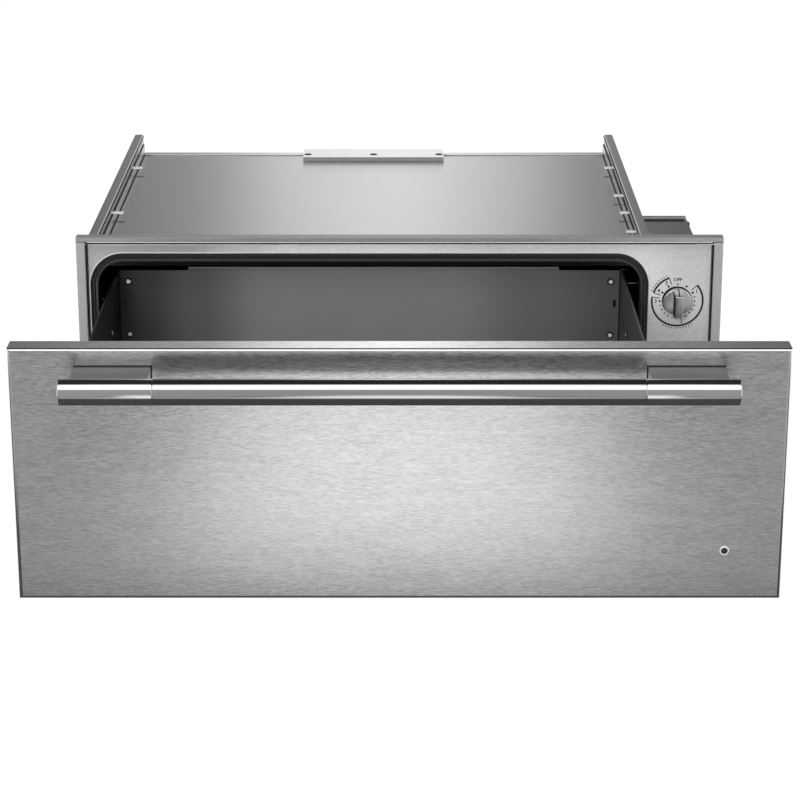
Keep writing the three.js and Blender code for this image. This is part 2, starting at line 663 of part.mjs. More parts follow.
// Round tube in a level plane along straight runs with filleted corners.
function bentTube(corners, level, bend, radius, sides = 8, arcSteps = 5) {
  const stations = [];
  corners.forEach((corner, i) => {
    const here = new THREE.Vector2(...corner);
    if (i === 0 || i === corners.length - 1) {
      stations.push(here);
      return;
    }
    const into = new THREE.Vector2(...corners[i - 1]).sub(here).normalize();
    const out = new THREE.Vector2(...corners[i + 1]).sub(here).normalize();
    const centre = here.clone().addScaledVector(into, bend).addScaledVector(out, bend);
    for (let k = 0; k <= arcSteps; k += 1) {
      const angle = ((k / arcSteps) * Math.PI) / 2;
      const point = centre.clone();
      point.addScaledVector(out, -bend * Math.cos(angle));
      point.addScaledVector(into, -bend * Math.sin(angle));
      stations.push(point);
    }
  });
  const positions = [];
  stations.forEach((point, i) => {
    const before = stations[Math.max(i - 1, 0)];
    const after = stations[Math.min(i + 1, stations.length - 1)];
    const along = after.clone().sub(before).normalize();
    for (let k = 0; k < sides; k += 1) {
      const angle = (k / sides) * 2 * Math.PI;
      const [offset, rise] = [radius * Math.cos(angle), radius * Math.sin(angle)];
      positions.push(point.x + along.y * offset, point.y - along.x * offset, level + rise);
    }
  });
  const ends = [stations[0], stations[stations.length - 1]];
  ends.forEach((point) => positions.push(point.x, point.y, level));
  const index = [];
  for (let i = 0; i < stations.length - 1; i += 1) {
    for (let k = 0; k < sides; k += 1) {
      const [a, b] = [i * sides + k, i * sides + ((k + 1) % sides)];
      index.push(a, b + sides, b, a, a + sides, b + sides);
    }
  }
  const firstCap = stations.length * sides;
  const lastRing = (stations.length - 1) * sides;
  for (let k = 0; k < sides; k += 1) {
    const next = (k + 1) % sides;
    index.push(firstCap, k, next, firstCap + 1, lastRing + next, lastRing + k);
  }
  const geometry = new THREE.BufferGeometry();
  geometry.setAttribute("position", new THREE.Float32BufferAttribute(positions, 3));
  geometry.setIndex(index);
  return geometry;
}

// One sheathed rod that runs to and fro over the floor, both tails leaving through the back.
function heatingElement() {
  const corners = [];
  const tail = REAR_FACE - ELEMENT_TAIL;
  for (let run = 0; run < ELEMENT_RUNS; run += 1) {
    const x = across(-1, ELEMENT_HALF) + run * ELEMENT_PITCH;
    const [start, end] = run % 2 === 0 ? [ELEMENT_BACK, ELEMENT_FRONT] : [ELEMENT_FRONT, ELEMENT_BACK];
    corners.push([x, run === 0 ? tail : start], [x, run === ELEMENT_RUNS - 1 ? tail : end]);
  }
  return bentTube(corners, ELEMENT_LEVEL, ELEMENT_BEND, ELEMENT_DIAMETER / 2);
}

// Saddle across all the runs at distance y: a strip arched over each rod, its feet on the floor.
function elementSaddle(y) {
  const radius = ELEMENT_DIAMETER / 2;
  const [low, high] = [LINER_FLOOR + GAP, ELEMENT_LEVEL + radius + GAP + SHEET];
  const reach = ELEMENT_HALF + ELEMENT_DIAMETER / 2 + GAP + SADDLE_FOOT;
  const [y0, y1] = [y - SADDLE_WIDTH / 2, y + SADDLE_WIDTH / 2];
  const bar = box(across(-1, reach), across(1, reach), y0, y1, low, high);
  const notches = [];
  for (let run = 0; run < ELEMENT_RUNS; run += 1) {
    const x = across(-1, ELEMENT_HALF) + run * ELEMENT_PITCH;
    const half = radius + GAP;
    notches.push(box(x - half, x + half, y0 - OVER, y1 + OVER, low - OVER, high - SHEET));
    if (run === ELEMENT_RUNS - 1) break;
    const middle = x + ELEMENT_PITCH / 2;
    const free = ELEMENT_PITCH / 2 - half - SADDLE_FOOT;
    const [left, right] = [middle - free, middle + free];
    notches.push(box(left, right, y0 - OVER, y1 + OVER, low + SHEET, high + OVER));
  }
  return cut(bar, ...notches);
}

function thermostatBulb() {
  const y = LINER_DEPTH - BULB_STANDOFF;
  const radius = BULB_DIAMETER / 2;
  const half = BULB_LENGTH / 2;
  const [from, to] = [across(1, half - OVER), across(1, half + BULB_TUBE.length)];
  return join(
    rodX(y, BULB_HEIGHT, radius, across(-1, half), across(1, half), 14),
    rodX(y, BULB_HEIGHT, BULB_TUBE.radius, from, to, 8),
  );
}

// Strip on the cavity's back with two rings round the bulb.
function bulbBracket() {
  const y = LINER_DEPTH - BULB_STANDOFF;
  const bore = BULB_DIAMETER / 2 + GAP;
  const outer = bore + SHEET;
  const reach = BULB_RING_REACH;
  const back = LINER_DEPTH - GAP;
  const rings = [-1, 1].flatMap((side) => {
    const [x0, x1] = [across(side, reach) - BULB_RING_HALF, across(side, reach) + BULB_RING_HALF];
    return [
      rodX(y, BULB_HEIGHT, outer, x0, x1, 16),
      box(x0, x1, y, back, BULB_HEIGHT - bore, BULB_HEIGHT + bore),
    ];
  });
  const [left, right] = [across(-1, reach + BULB_RING_HALF), across(1, reach + BULB_RING_HALF)];
  const strip = box(left, right, back - SHEET, back, BULB_HEIGHT - outer, BULB_HEIGHT + 2 * outer);
  return cut(join(strip, ...rings), rodX(y, BULB_HEIGHT, bore, left - OVER, right + OVER, 16));
}

// ---------------------------------------------------------------- control box

const CONTROL_LEFT = CHASSIS_RIGHT + CONTROL_GAP;
const CONTROL_RIGHT = CONTROL_LEFT + CONTROL_WIDTH;
const CONTROL_FRONT = LINER_FRONT + SHEET + GAP;
const CONTROL_BACK = CONTROL_FRONT + CONTROL_DEPTH;

// Folded box, open to the face plate in front and to its cover on top.
function controlHousing() {
  const [left, right, front, back] = [CONTROL_LEFT, CONTROL_RIGHT, CONTROL_FRONT, CONTROL_BACK];
  return join(
    box(left, right, front, back, CONTROL_BOTTOM, CONTROL_BOTTOM + SHEET),
    box(left, left + SHEET, front, back, CONTROL_BOTTOM, CONTROL_TOP),
    box(right - SHEET, right, front, back, CONTROL_BOTTOM, CONTROL_TOP),
    box(left, right, back - SHEET, back, CONTROL_BOTTOM, CONTROL_TOP + CONTROL_LIP),
  );
}

// Cover lying on the side walls, its edges turned down inside them.
function controlCover() {
  const [low, high] = [CONTROL_TOP + GAP, CONTROL_TOP + GAP + SHEET];
  const back = CONTROL_BACK - SHEET - GAP;
  const lip = (x) => box(x, x + SHEET, CONTROL_FRONT, back, low - COVER_LIP, low + SHEET / 2);
  return join(
    box(CONTROL_LEFT, CONTROL_RIGHT, CONTROL_FRONT, back, low, high),
    lip(CONTROL_LEFT + SHEET + GAP),
    lip(CONTROL_RIGHT - SHEET - GAP - SHEET),
  );
}

// Round bush behind the plate, square switch body and a round hub at its back.
function thermostatBody() {
  const { width, height, depth, bush, neck, hub, hubDepth } = THERMOSTAT;
  const front = PLATE_BACK + GAP;
  const bodyFront = front + bush;
  const bodyBack = bodyFront + depth;
  const boreEnd = PLATE_BACK + SHAFT_IN_BODY + GAP;
  const [x0, x1] = [CONTROL_X - width / 2, CONTROL_X + width / 2];
  return cut(
    join(
      rodY(CONTROL_X, CONTROL_Z, neck, front, bodyFront + OVER, 16),
      box(x0, x1, bodyFront, bodyBack, CONTROL_Z - height / 2, CONTROL_Z + height / 2),
      rodY(CONTROL_X, CONTROL_Z, hub / 2, bodyBack - OVER, bodyBack + hubDepth, 20),
    ),
    rodY(CONTROL_X, CONTROL_Z, SHAFT_RADIUS + GAP, front - OVER, boreEnd, 16),
  );
}

// Lamp behind the face plate: it lights the pipe in the drawer front when the drawer is shut.
function pilotLamp() {
  const collar = LAMP_RADIUS + LAMP_COLLAR;
  return join(
    rodY(LAMP_X, LAMP_Z, LAMP_RADIUS, PLATE_FRONT - BEZEL_LIP, PLATE_BACK + LAMP_LENGTH, 16),
    rodY(LAMP_X, LAMP_Z, collar, PLATE_BACK + GAP, PLATE_BACK + GAP + SHEET, 16),
  );
}

// ---------------------------------------------------------------- mains inlet

// Base with three screw barrels for the mains leads.
function terminalBlock() {
  const back = REAR_INSIDE - GAP;
  const x = INLET_X - TERMINAL_LEFT;
  const block = (centre, { width, height, depth }) => {
    const [x0, x1] = [centre - width / 2, centre + width / 2];
    return box(x0, x1, back - depth, back, INLET_Z - height / 2, INLET_Z + height / 2);
  };
  const barrels = [-1, 0, 1].map((i) => block(x + i * BARREL.pitch, BARREL));
  return join(block(x, TERMINAL), ...barrels);
}

function inletBushing() {
  const { bore, wall, flange, tail, nose, round } = INLET;
  const outer = bore + wall;
  const inside = REAR_INSIDE - tail;
  const seat = REAR_FACE + GAP;
  const end = seat + nose;
  const profile = [
    [bore, inside],
    [outer, inside],
    [outer, seat],
    [outer + flange, seat],
    [outer + flange - round, end - 2 * round],
    [bore + round, end],
    [bore, end - round],
    [bore, inside],
  ];
  const ring = new THREE.LatheGeometry(profile.map(([r, y]) => new THREE.Vector2(r, y)), 20);
  return ring.translate(INLET_X, 0, INLET_Z);
}

// ---------------------------------------------------------------- telescopic slides

// Distances into one slide: s from the packing plate towards the drawer, t up and down.
const SLIDE_HALF = SLIDE_HEIGHT / 2;
const BALL_RADIUS = BALL_DIAMETER / 2;
const RACE_OUTER = SLIDE_HALF - SLIDE_SHEET - GAP - BALL_RADIUS; // ball axis between outer and middle
const MIDDLE_HALF = RACE_OUTER - BALL_RADIUS - GAP;
const RACE_INNER = MIDDLE_HALF - SLIDE_SHEET - GAP - BALL_RADIUS; // between middle and inner
const INNER_HALF = RACE_INNER - BALL_RADIUS - GAP;
const OUTER_CAGE_S = SLIDE_SHEET + SLIDE_NEST;
const MIDDLE_S = OUTER_CAGE_S + CAGE_SHEET + SLIDE_NEST;
const INNER_CAGE_S = MIDDLE_S + SLIDE_SHEET + SLIDE_NEST;
const INNER_S = INNER_CAGE_S + CAGE_SHEET + SLIDE_NEST;
const MOUTH_S = SLIDE_THICKNESS - SLIDE_NEST; // open edges of the outer and middle members

function slideExtrusion(side, section, y0, y1) {
  const points = section.map(([s, t]) => [across(side, SLIDE_WALL - s), SLIDE_LEVEL + t]);
  return extrudeY(outline(points), y0, y1);
}

// Slots through the web of a member, along its length.
function slideSlots(side, s0, s1) {
  return [-1, 0, 1].map((i) => {
    const y = (SLIDE_FRONT + SLIDE_BACK) / 2 + i * SLOT_PITCH;
    const [a, b] = [across(side, SLIDE_WALL - s0), across(side, SLIDE_WALL - s1)];
    const [y0, y1] = [y - SLOT.length / 2, y + SLOT.length / 2];
    return box(a, b, y0, y1, SLIDE_LEVEL - SLOT.width / 2, SLIDE_LEVEL + SLOT.width / 2);
  });
}

function slidePlate(side) {
  const half = SLIDE_HALF - SLIDE_PLATE_MARGIN;
  const section = [
    [-GAP - SLIDE_PLATE, -half],
    [-GAP, -half],
    [-GAP, half],
    [-GAP - SLIDE_PLATE, half],
  ];
  return cut(
    slideExtrusion(side, section, SLIDE_FRONT, SLIDE_BACK),
    ...slideSlots(side, -GAP - SLIDE_PLATE - OVER, GAP),
  );
}

function slideOuter(side) {
  const section = channel(0, MOUTH_S, -SLIDE_HALF, SLIDE_HALF, SLIDE_SHEET, SLIDE_LIP);
  const member = slideExtrusion(side, section, SLIDE_FRONT, SLIDE_BACK);
  return cut(member, ...slideSlots(side, -OVER, SLIDE_SHEET + OVER));
}

function slideMiddle(side) {
  const section = channel(MIDDLE_S, MOUTH_S - GAP, -MIDDLE_HALF, MIDDLE_HALF, SLIDE_SHEET, SLIDE_LIP);
  return slideExtrusion(side, section, SLIDE_FRONT, SLIDE_BACK);
}

function slideInner(side) {
  const section = channel(SLIDE_THICKNESS, INNER_S, -INNER_HALF, INNER_HALF, SLIDE_SHEET);
  const member = slideExtrusion(side, section, SLIDE_FRONT, SLIDE_BACK);
  const [s0, s1] = [SLIDE_THICKNESS - SLIDE_SHEET - OVER, SLIDE_THICKNESS + OVER];
  return cut(member, ...slideSlots(side, s0, s1));
}

// Sheet cage of one race: a web with two wings, and the balls that the wings carry. The wings
// end in front of the lips of the member round the cage, which start at lipS.
function ballCage(side, cageS, race, lipS) {
  const wingEnd = lipS - GAP;
  const ballS = wingEnd - CAGE_WING;
  const half = race + CAGE_SHEET / 2;
  const section = channel(cageS, wingEnd, -half, half, CAGE_SHEET);
  const front = SLIDE_FRONT + (SLIDE_LENGTH - CAGE_LENGTH) / 2;
  const pieces = [slideExtrusion(side, section, front, front + CAGE_LENGTH)];
  const pitch = CAGE_LENGTH / BALLS_PER_ROW;
  const x = across(side, SLIDE_WALL - ballS);
  for (let i = 0; i < BALLS_PER_ROW; i += 1) {
    for (const up of [-1, 1]) {
      const ball = new THREE.SphereGeometry(BALL_RADIUS, 6, 4);
      pieces.push(ball.translate(x, front + (i + 1 / 2) * pitch, SLIDE_LEVEL + up * race));
    }
  }
  return join(...pieces);
}

const outerCage = (side) => ballCage(side, OUTER_CAGE_S, RACE_OUTER, MOUTH_S - SLIDE_SHEET);
const innerCage = (side) => ballCage(side, INNER_CAGE_S, RACE_INNER, MOUTH_S - GAP - SLIDE_SHEET);

// ---------------------------------------------------------------- drawer box

// Side wall with a folded hem on top, a floor flange and a corner flange behind the back.
function drawerSide(side) {
  const front = BOX_INSIDE + GAP;
  const flange = BOX_BACK + SHEET + GAP;
  const back = flange + SHEET;
  const low = BOX_LEVEL - GAP - SHEET;
  const wall = (u0, u1, y0, y1, z0, z1) => box(across(side, u0), across(side, u1), y0, y1, z0, z1);
  return join(
    wall(BOX_HALF, BOX_INNER, front, back, low, BOX_TOP),
    wall(BOX_HALF + SHEET, BOX_INNER + SHEET / 2, front, back, BOX_TOP - BOX_HEM, BOX_TOP),
    wall(BOX_HALF, BOX_INNER - BOX_FLOOR_FLANGE, front, BOX_BACK - GAP, low, low + SHEET),
    wall(BOX_HALF, BOX_INNER - BOX_CORNER_FLANGE, flange, back, BOX_LEVEL, BOX_TOP - SHEET),
  );
}

// Floor pan on the flanges of the sides, with a shallow step up to its middle.
function drawerFloor() {
  const half = BOX_INNER - GAP;
  const [y0, y1] = [BOX_INSIDE + GAP, BOX_BACK - GAP];
  const { margin, rise } = FLOOR_STEP;
  const plate = box(across(-1, half), across(1, half), y0, y1, BOX_LEVEL, BOX_LEVEL + SHEET);
  const level = (inset, z0, z1) =>
    box(across(-1, half - inset), across(1, half - inset), y0 + inset, y1 - inset, z0, z1);
  return cut(
    join(plate, level(margin, BOX_LEVEL, BOX_LEVEL + rise + SHEET)),
    level(margin + SHEET, BOX_LEVEL - OVER, BOX_LEVEL + rise),
  );
}

// Front wall with its top edge folded back over the fronts of the sides.
function drawerFrontWall() {
  const half = BOX_INNER - GAP;
  const [left, right] = [across(-1, half), across(1, half)];
  const fold = BOX_TOP + GAP;
  return join(
    box(left, right, BOX_FRONT, BOX_INSIDE, BOX_LEVEL, fold + SHEET / 2),
    box(left, right, BOX_FRONT, BOX_INSIDE + BOX_HEM, fold, fold + SHEET),
  );
}

// Back panel whose top edge stands higher over most of its width.
function drawerBack() {
  const half = BOX_INNER - GAP;
  const [left, right] = [across(-1, half), across(1, half)];
  const centre = CHASSIS_SHIFT + BACK_RAISE_SHIFT;
  const [stepLeft, stepRight] = [centre - BACK_RAISE_WIDTH / 2, centre + BACK_RAISE_WIDTH / 2];
  const shape = outline([
    [left, BOX_LEVEL + SHEET + GAP],
    [right, BOX_LEVEL + SHEET + GAP],
    [right, BOX_TOP],
    [stepRight, BOX_TOP],
    [stepRight, BOX_TOP + BACK_RAISE],
    [stepLeft, BOX_TOP + BACK_RAISE],
    [stepLeft, BOX_TOP],
    [left, BOX_TOP],
  ]);
  return extrudeY(shape, BOX_BACK, BOX_BACK + SHEET);
}

// ---------------------------------------------------------------- drawer front

// X of the two studs of a handle foot.
const studPlaces = (side) => [-1, 1].map((end) => side * FOOT_X + (end * STUD.pitch) / 2);

// Outer skin: face, four returns and lips folded in behind.
function frontSkin() {
  const inside = FRONT_HALF - SHEET;
  const rim = FRONT_HALF - FRONT_LIP;
  const face = FRONT_FACE + SHEET;
  const lips = FRONT_BACK - SHEET;
  const [low, high] = [FRONT_BOTTOM + FRONT_LIP, FRONT_TOP - FRONT_LIP];
  const holes = [...studPlaces(-1), ...studPlaces(1)].map((x) =>
    rodY(x, HANDLE_LEVEL, STUD.radius + GAP, FRONT_FACE - OVER, face + OVER, 12),
  );
  const barrel = PIPE_RADIUS + GAP + BEZEL_WALL;
  return cut(
    box(-FRONT_HALF, FRONT_HALF, FRONT_FACE, FRONT_BACK, FRONT_BOTTOM, FRONT_TOP),
    box(-inside, inside, face, lips, FRONT_BOTTOM + SHEET, FRONT_TOP - SHEET),
    box(-rim, rim, lips - OVER, FRONT_BACK + OVER, low, high),
    ...holes,
    rodY(LAMP_X, LAMP_Z, barrel + GAP, FRONT_FACE - OVER, face + OVER, 16),
  );
}

// Inner panel behind the lips: its raised field closes on the gasket, and a window lets the
// knob into the hollow of the front.
function frontInnerPanel() {
  const half = RIM_INNER - INNER_PANEL_CLEAR;
  const low = RIM_BOTTOM + RIM_BOTTOM_FACE + INNER_PANEL_CLEAR;
  const high = RIM_TOP - RIM_TOP_FACE - INNER_PANEL_CLEAR;
  const { width, height } = KNOB_WINDOW;
  const [x0, x1] = [CONTROL_X - width / 2, CONTROL_X + width / 2];
  const [y0, y1] = [PANEL_FRONT - OVER, PANEL_BACK + OVER];
  return cut(
    join(
      box(-half, half, PANEL_FRONT, PANEL_BACK, low, high),
      extrudeY(mouthOutline(FIELD_MARGIN), PANEL_FRONT, FIELD_BACK, 8),
    ),
    extrudeY(mouthOutline(FIELD_MARGIN - SHEET), y0, FIELD_BACK - SHEET, 8),
    box(x0, x1, y0, y1, CONTROL_Z - height / 2, CONTROL_Z + height / 2),
    rodY(LAMP_X, LAMP_Z, PIPE_RADIUS + GAP, y0, y1, 12),
  );
}

function frontLagging() {
  const half = MOUTH_HALF - PAD_CLEAR;
  const [y0, y1] = [FRONT_FACE + SHEET + GAP, PANEL_FRONT - GAP];
  return box(MOUTH_X - half, MOUTH_X + half, y0, y1, MOUTH_BOTTOM + PAD_CLEAR, MOUTH_TOP - PAD_CLEAR);
}

function handleBar() {
  const end = SLEEVE_INNER + SPIGOT.length;
  return join(
    rodX(HANDLE_AXIS, HANDLE_LEVEL, HANDLE_RADIUS, -SLEEVE_INNER, SLEEVE_INNER, 32),
    rodX(HANDLE_AXIS, HANDLE_LEVEL, SPIGOT.radius, -end, end, 24),
  );
}

// End sleeve over the spigot of the bar, chamfered at its free end.
function handleSleeve(side) {
  const from = SLEEVE_INNER + GAP;
  const to = HANDLE_HALF;
  const socket = SPIGOT.radius + GAP;
  const depth = SLEEVE_INNER + SPIGOT.length + GAP;
  const profile = [
    [socket, from],
    [HANDLE_RADIUS, from],
    [HANDLE_RADIUS, to - HANDLE_CHAMFER],
    [HANDLE_RADIUS - HANDLE_CHAMFER, to],
    [0, to],
    [0, depth],
    [socket, depth],
    [socket, from],
  ];
  const sleeve = new THREE.LatheGeometry(profile.map(([r, u]) => new THREE.Vector2(r, u)), 32);
  return sleeve.rotateZ((-side * Math.PI) / 2).translate(0, HANDLE_AXIS, HANDLE_LEVEL);
}

// Foot between the drawer front and the sleeve, hollowed to the sleeve's round, with two studs
// through the skin of the front.
function handleFoot(side) {
  const { width, height, corner } = HANDLE_FOOT;
  const [x0, x1] = [side * FOOT_X - width / 2, side * FOOT_X + width / 2];
  const plan = roundedRect(x0, x1, HANDLE_AXIS, FRONT_FACE - GAP, corner);
  const block = extrudeZ(plan, HANDLE_LEVEL - height / 2, HANDLE_LEVEL + height / 2, 3);
  const saddle = rodX(HANDLE_AXIS, HANDLE_LEVEL, HANDLE_RADIUS + GAP, x0 - OVER, x1 + OVER, 32);
  const [low, high] = [HANDLE_LEVEL - height, HANDLE_LEVEL + height];
  const front = box(x0 - OVER, x1 + OVER, HANDLE_AXIS - HANDLE_RADIUS, HANDLE_AXIS, low, high);
  const studs = studPlaces(side).map((stud) =>
    rodY(stud, HANDLE_LEVEL, STUD.radius, FRONT_FACE - STUD.root, STUD_END, 12),
  );
  return join(cut(block, saddle, front), ...studs);
}

// Spreader plate behind the skin, with the nuts of both studs.
function handleNutPlate(side) {
  const front = FRONT_FACE + SHEET + GAP;
  const back = front + NUT_PLATE.thickness;
  const half = STUD.pitch / 2 + NUT_PLATE.margin;
  const [x0, x1] = [side * FOOT_X - half, side * FOOT_X + half];
  const [low, high] = [HANDLE_LEVEL - NUT_PLATE.height / 2, HANDLE_LEVEL + NUT_PLATE.height / 2];
  const nuts = studPlaces(side).map((x) =>
    rodY(x, HANDLE_LEVEL, NUT.radius, back - OVER, back + NUT.height, 6),
  );
  const bores = studPlaces(side).map((x) =>
    rodY(x, HANDLE_LEVEL, STUD.radius + GAP, front - OVER, STUD_END + OVER, 12),
  );
  return cut(join(box(x0, x1, front, back, low, high), ...nuts), ...bores);
}

function lightPipe() {
  return rodY(LAMP_X, LAMP_Z, PIPE_RADIUS, FRONT_FACE - PIPE_PROUD, PANEL_BACK + PIPE_PROUD, 16);
}

function pipeBezel() {
  const bore = PIPE_RADIUS + GAP;
  const barrel = bore + BEZEL_WALL;
  const seat = FRONT_FACE - GAP;
  const end = FRONT_FACE + SHEET + BEZEL_LENGTH;
  const profile = [
    [bore, seat - BEZEL_LIP],
    [BEZEL_RADIUS - BEZEL_LIP / 2, seat - BEZEL_LIP],
    [BEZEL_RADIUS, seat - BEZEL_LIP / 2],
    [BEZEL_RADIUS, seat],
    [barrel, seat],
    [barrel, end],
    [bore, end],
    [bore, seat - BEZEL_LIP],
  ];
  const ring = new THREE.LatheGeometry(profile.map(([r, y]) => new THREE.Vector2(r, y)), 20);
  return ring.translate(LAMP_X, 0, LAMP_Z);
}

// ---------------------------------------------------------------- knob

// Disc with a grip across it; a notch in the grip's upper end is the pointer.
function knobBody() {
  const rim = KNOB_RADIUS;
  const edge = DISC_FRONT + KNOB_FALL;
  const profile = [
    [0, DISC_FRONT],
    [KNOB_FLAT, DISC_FRONT],
    [rim - KNOB_ROUND, edge],
    [rim, edge + KNOB_ROUND],
    [rim, KNOB_BACK - KNOB_ROUND],
    [rim - KNOB_ROUND, KNOB_BACK],
    [0, KNOB_BACK],
  ];
  const disc = new THREE.LatheGeometry(profile.map(([r, y]) => new THREE.Vector2(r, y)), 32);
  disc.translate(CONTROL_X, 0, CONTROL_Z);
  const [left, right] = [CONTROL_X - GRIP_WIDTH / 2, CONTROL_X + GRIP_WIDTH / 2];
  const reach = KNOB_RADIUS - GAP;
  const tip = CONTROL_Z + reach;
  const grip = roundedRect(left, right, CONTROL_Z - reach, tip, GRIP_CORNER);
  const [x0, x1] = [CONTROL_X - POINTER.width / 2, CONTROL_X + POINTER.width / 2];
  const [y0, y1] = [KNOB_FRONT - OVER, KNOB_FRONT + POINTER.depth];
  const notch = box(x0, x1, y0, y1, tip - POINTER.length, tip + OVER);
  const boreEnd = KNOB_BACK - SHAFT_IN_KNOB - GAP;
  const bore = rodY(CONTROL_X, CONTROL_Z, SHAFT_RADIUS + GAP, boreEnd, KNOB_BACK + OVER, 16);
  return cut(join(disc, extrudeY(grip, KNOB_FRONT, DISC_FRONT + OVER, 4)), notch, bore);
}

// Shaft with a flat for the knob.
function knobShaft() {
  const front = KNOB_BACK - SHAFT_IN_KNOB;
  const back = PLATE_BACK + SHAFT_IN_BODY;
  const reach = SHAFT_RADIUS + OVER;
  const [left, right] = [CONTROL_X - reach, CONTROL_X + reach];
  const [low, high] = [CONTROL_Z + SHAFT_FLAT, CONTROL_Z + reach];
  const flat = box(left, right, front - OVER, KNOB_BACK, low, high);
  return cut(rodY(CONTROL_X, CONTROL_Z, SHAFT_RADIUS, front, back, 16), flat);
}

// ---------------------------------------------------------------- assembly

const SADDLES = SADDLE_PLACES.map((share) => ELEMENT_FRONT + share * (ELEMENT_BACK - ELEMENT_FRONT));

const finish = (color, roughness, metalness) => ({ color, roughness, metalness });
const BRUSHED = finish(0xc2c2c0, 0.32, 1);
const BRIGHT = finish(0xd6d6d4, 0.2, 1);
const SATIN = finish(0x9b9c9c, 0.45, 1);
const LINED = finish(0x5c5d5e, 0.4, 1);
const GALVANISED = finish(0xa9abac, 0.5, 1);
const ZINC = finish(0xb8babc, 0.35, 1);
const RUBBER = finish(0x232323, 0.7, 0);
const LAGGING = finish(0xd9d4c4, 0.95, 0);
const BLACK_PLASTIC = finish(0x1c1c1c, 0.5, 0);
const LENS = finish(0x2c2a28, 0.15, 0);
const SHEATH = finish(0x4a4642, 0.55, 1);

function add(group, name, geometry, look) {
  const mesh = new THREE.Mesh(geometry, new THREE.MeshStandardMaterial(look));
  mesh.name = name;
  group.add(mesh);
}

// A group that has moved out by a share of the drawer's travel.
function movedOut(parent, share) {
  const group = new THREE.Group();
  group.position.y = -share * OPENING;
  parent.add(group);
  return group;
}

const SIDES = [
  ["left", -1],
  ["right", 1],
];

const warmingDrawer = new THREE.Group();

const chassis = movedOut(warmingDrawer, 0);
add(chassis, "rim_top_bar", topBar(), BRUSHED);
add(chassis, "rim_bottom_bar", bottomBar(), BRUSHED);
for (const [word, side] of SIDES) add(chassis, `rim_${word}_bar`, sideBar(side), BRUSHED);
add(chassis, "face_plate", facePlate(), BRUSHED);
add(chassis, "mouth_gasket", mouthGasket(), RUBBER);
add(chassis, "side_panel_left", sidePanel(-1, LEFT_TABS), SATIN);
add(chassis, "side_panel_right", sidePanel(1, RIGHT_TABS), SATIN);
add(chassis, "top_panel", topPanel(), SATIN);
add(chassis, "base_pan", basePan(), GALVANISED);
add(chassis, "rear_panel", rearPanel(), GALVANISED);
add(chassis, "rear_bracket", rearBracket(), SATIN);
add(chassis, "liner_sleeve", linerSleeve(), LINED);
add(chassis, "liner_back", linerBack(), LINED);
for (const [word, side] of SIDES) add(chassis, `lagging_${word}`, sideLagging(side), LAGGING);
add(chassis, "lagging_base", baseLagging(), LAGGING);
add(chassis, "lagging_rear", rearLagging(), LAGGING);
add(chassis, "heating_element", heatingElement(), SHEATH);
add(chassis, "element_saddle_front", elementSaddle(SADDLES[0]), ZINC);
add(chassis, "element_saddle_back", elementSaddle(SADDLES[1]), ZINC);
add(chassis, "thermostat_bulb", thermostatBulb(), BRIGHT);
add(chassis, "bulb_bracket", bulbBracket(), ZINC);
add(chassis, "control_housing", controlHousing(), GALVANISED);
add(chassis, "control_cover", controlCover(), SATIN);
add(chassis, "thermostat_body", thermostatBody(), BLACK_PLASTIC);
add(chassis, "pilot_lamp", pilotLamp(), LENS);
add(chassis, "terminal_block", terminalBlock(), BLACK_PLASTIC);
add(chassis, "inlet_bushing", inletBushing(), BLACK_PLASTIC);
for (const [word, side] of SIDES) {
  add(chassis, `slide_plate_${word}`, slidePlate(side), GALVANISED);
  add(chassis, `slide_outer_${word}`, slideOuter(side), ZINC);
}

const knob = movedOut(warmingDrawer, 0);
add(knob, "knob", knobBody(), BRIGHT);
add(knob, "knob_shaft", knobShaft(), ZINC);

const outerCages = movedOut(warmingDrawer, 0.25);
const middles = movedOut(warmingDrawer, 0.5);
const innerCages = movedOut(warmingDrawer, 0.75);
for (const [word, side] of SIDES) {
  add(outerCages, `ball_cage_outer_${word}`, outerCage(side), BRIGHT);
  add(middles, `slide_middle_${word}`, slideMiddle(side), ZINC);
  add(innerCages, `ball_cage_inner_${word}`, innerCage(side), BRIGHT);
}

const drawer = movedOut(warmingDrawer, 1);
add(drawer, "front_skin", frontSkin(), BRUSHED);
add(drawer, "front_inner_panel", frontInnerPanel(), GALVANISED);
add(drawer, "front_lagging", frontLagging(), LAGGING);
add(drawer, "handle_bar", handleBar(), BRIGHT);
add(drawer, "light_pipe", lightPipe(), LENS);
add(drawer, "light_pipe_bezel", pipeBezel(), BRIGHT);
add(drawer, "drawer_floor", drawerFloor(), LINED);
add(drawer, "drawer_front_wall", drawerFrontWall(), LINED);
add(drawer, "drawer_back", drawerBack(), LINED);
for (const [word, side] of SIDES) {
  add(drawer, `handle_sleeve_${word}`, handleSleeve(side), BRIGHT);
  add(drawer, `handle_foot_${word}`, handleFoot(side), SATIN);
  add(drawer, `handle_nut_plate_${word}`, handleNutPlate(side), ZINC);
  add(drawer, `drawer_side_${word}`, drawerSide(side), LINED);
  add(drawer, `slide_inner_${word}`, slideInner(side), ZINC);
}

export default warmingDrawer;
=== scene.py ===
# %% [markdown]
# # A built-in warming drawer, dressed in Blender
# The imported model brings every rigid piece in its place. This lesson gives the pieces their
# finishes, rounds the edges that catch the light, and adds the small things that sheet metal
# drawings leave out: screws, pressed slots, the dial round the knob. Everything is in metres, with
# X to the right, Y into the cabinet and Z up.

# %% Load the frame
import json
import math

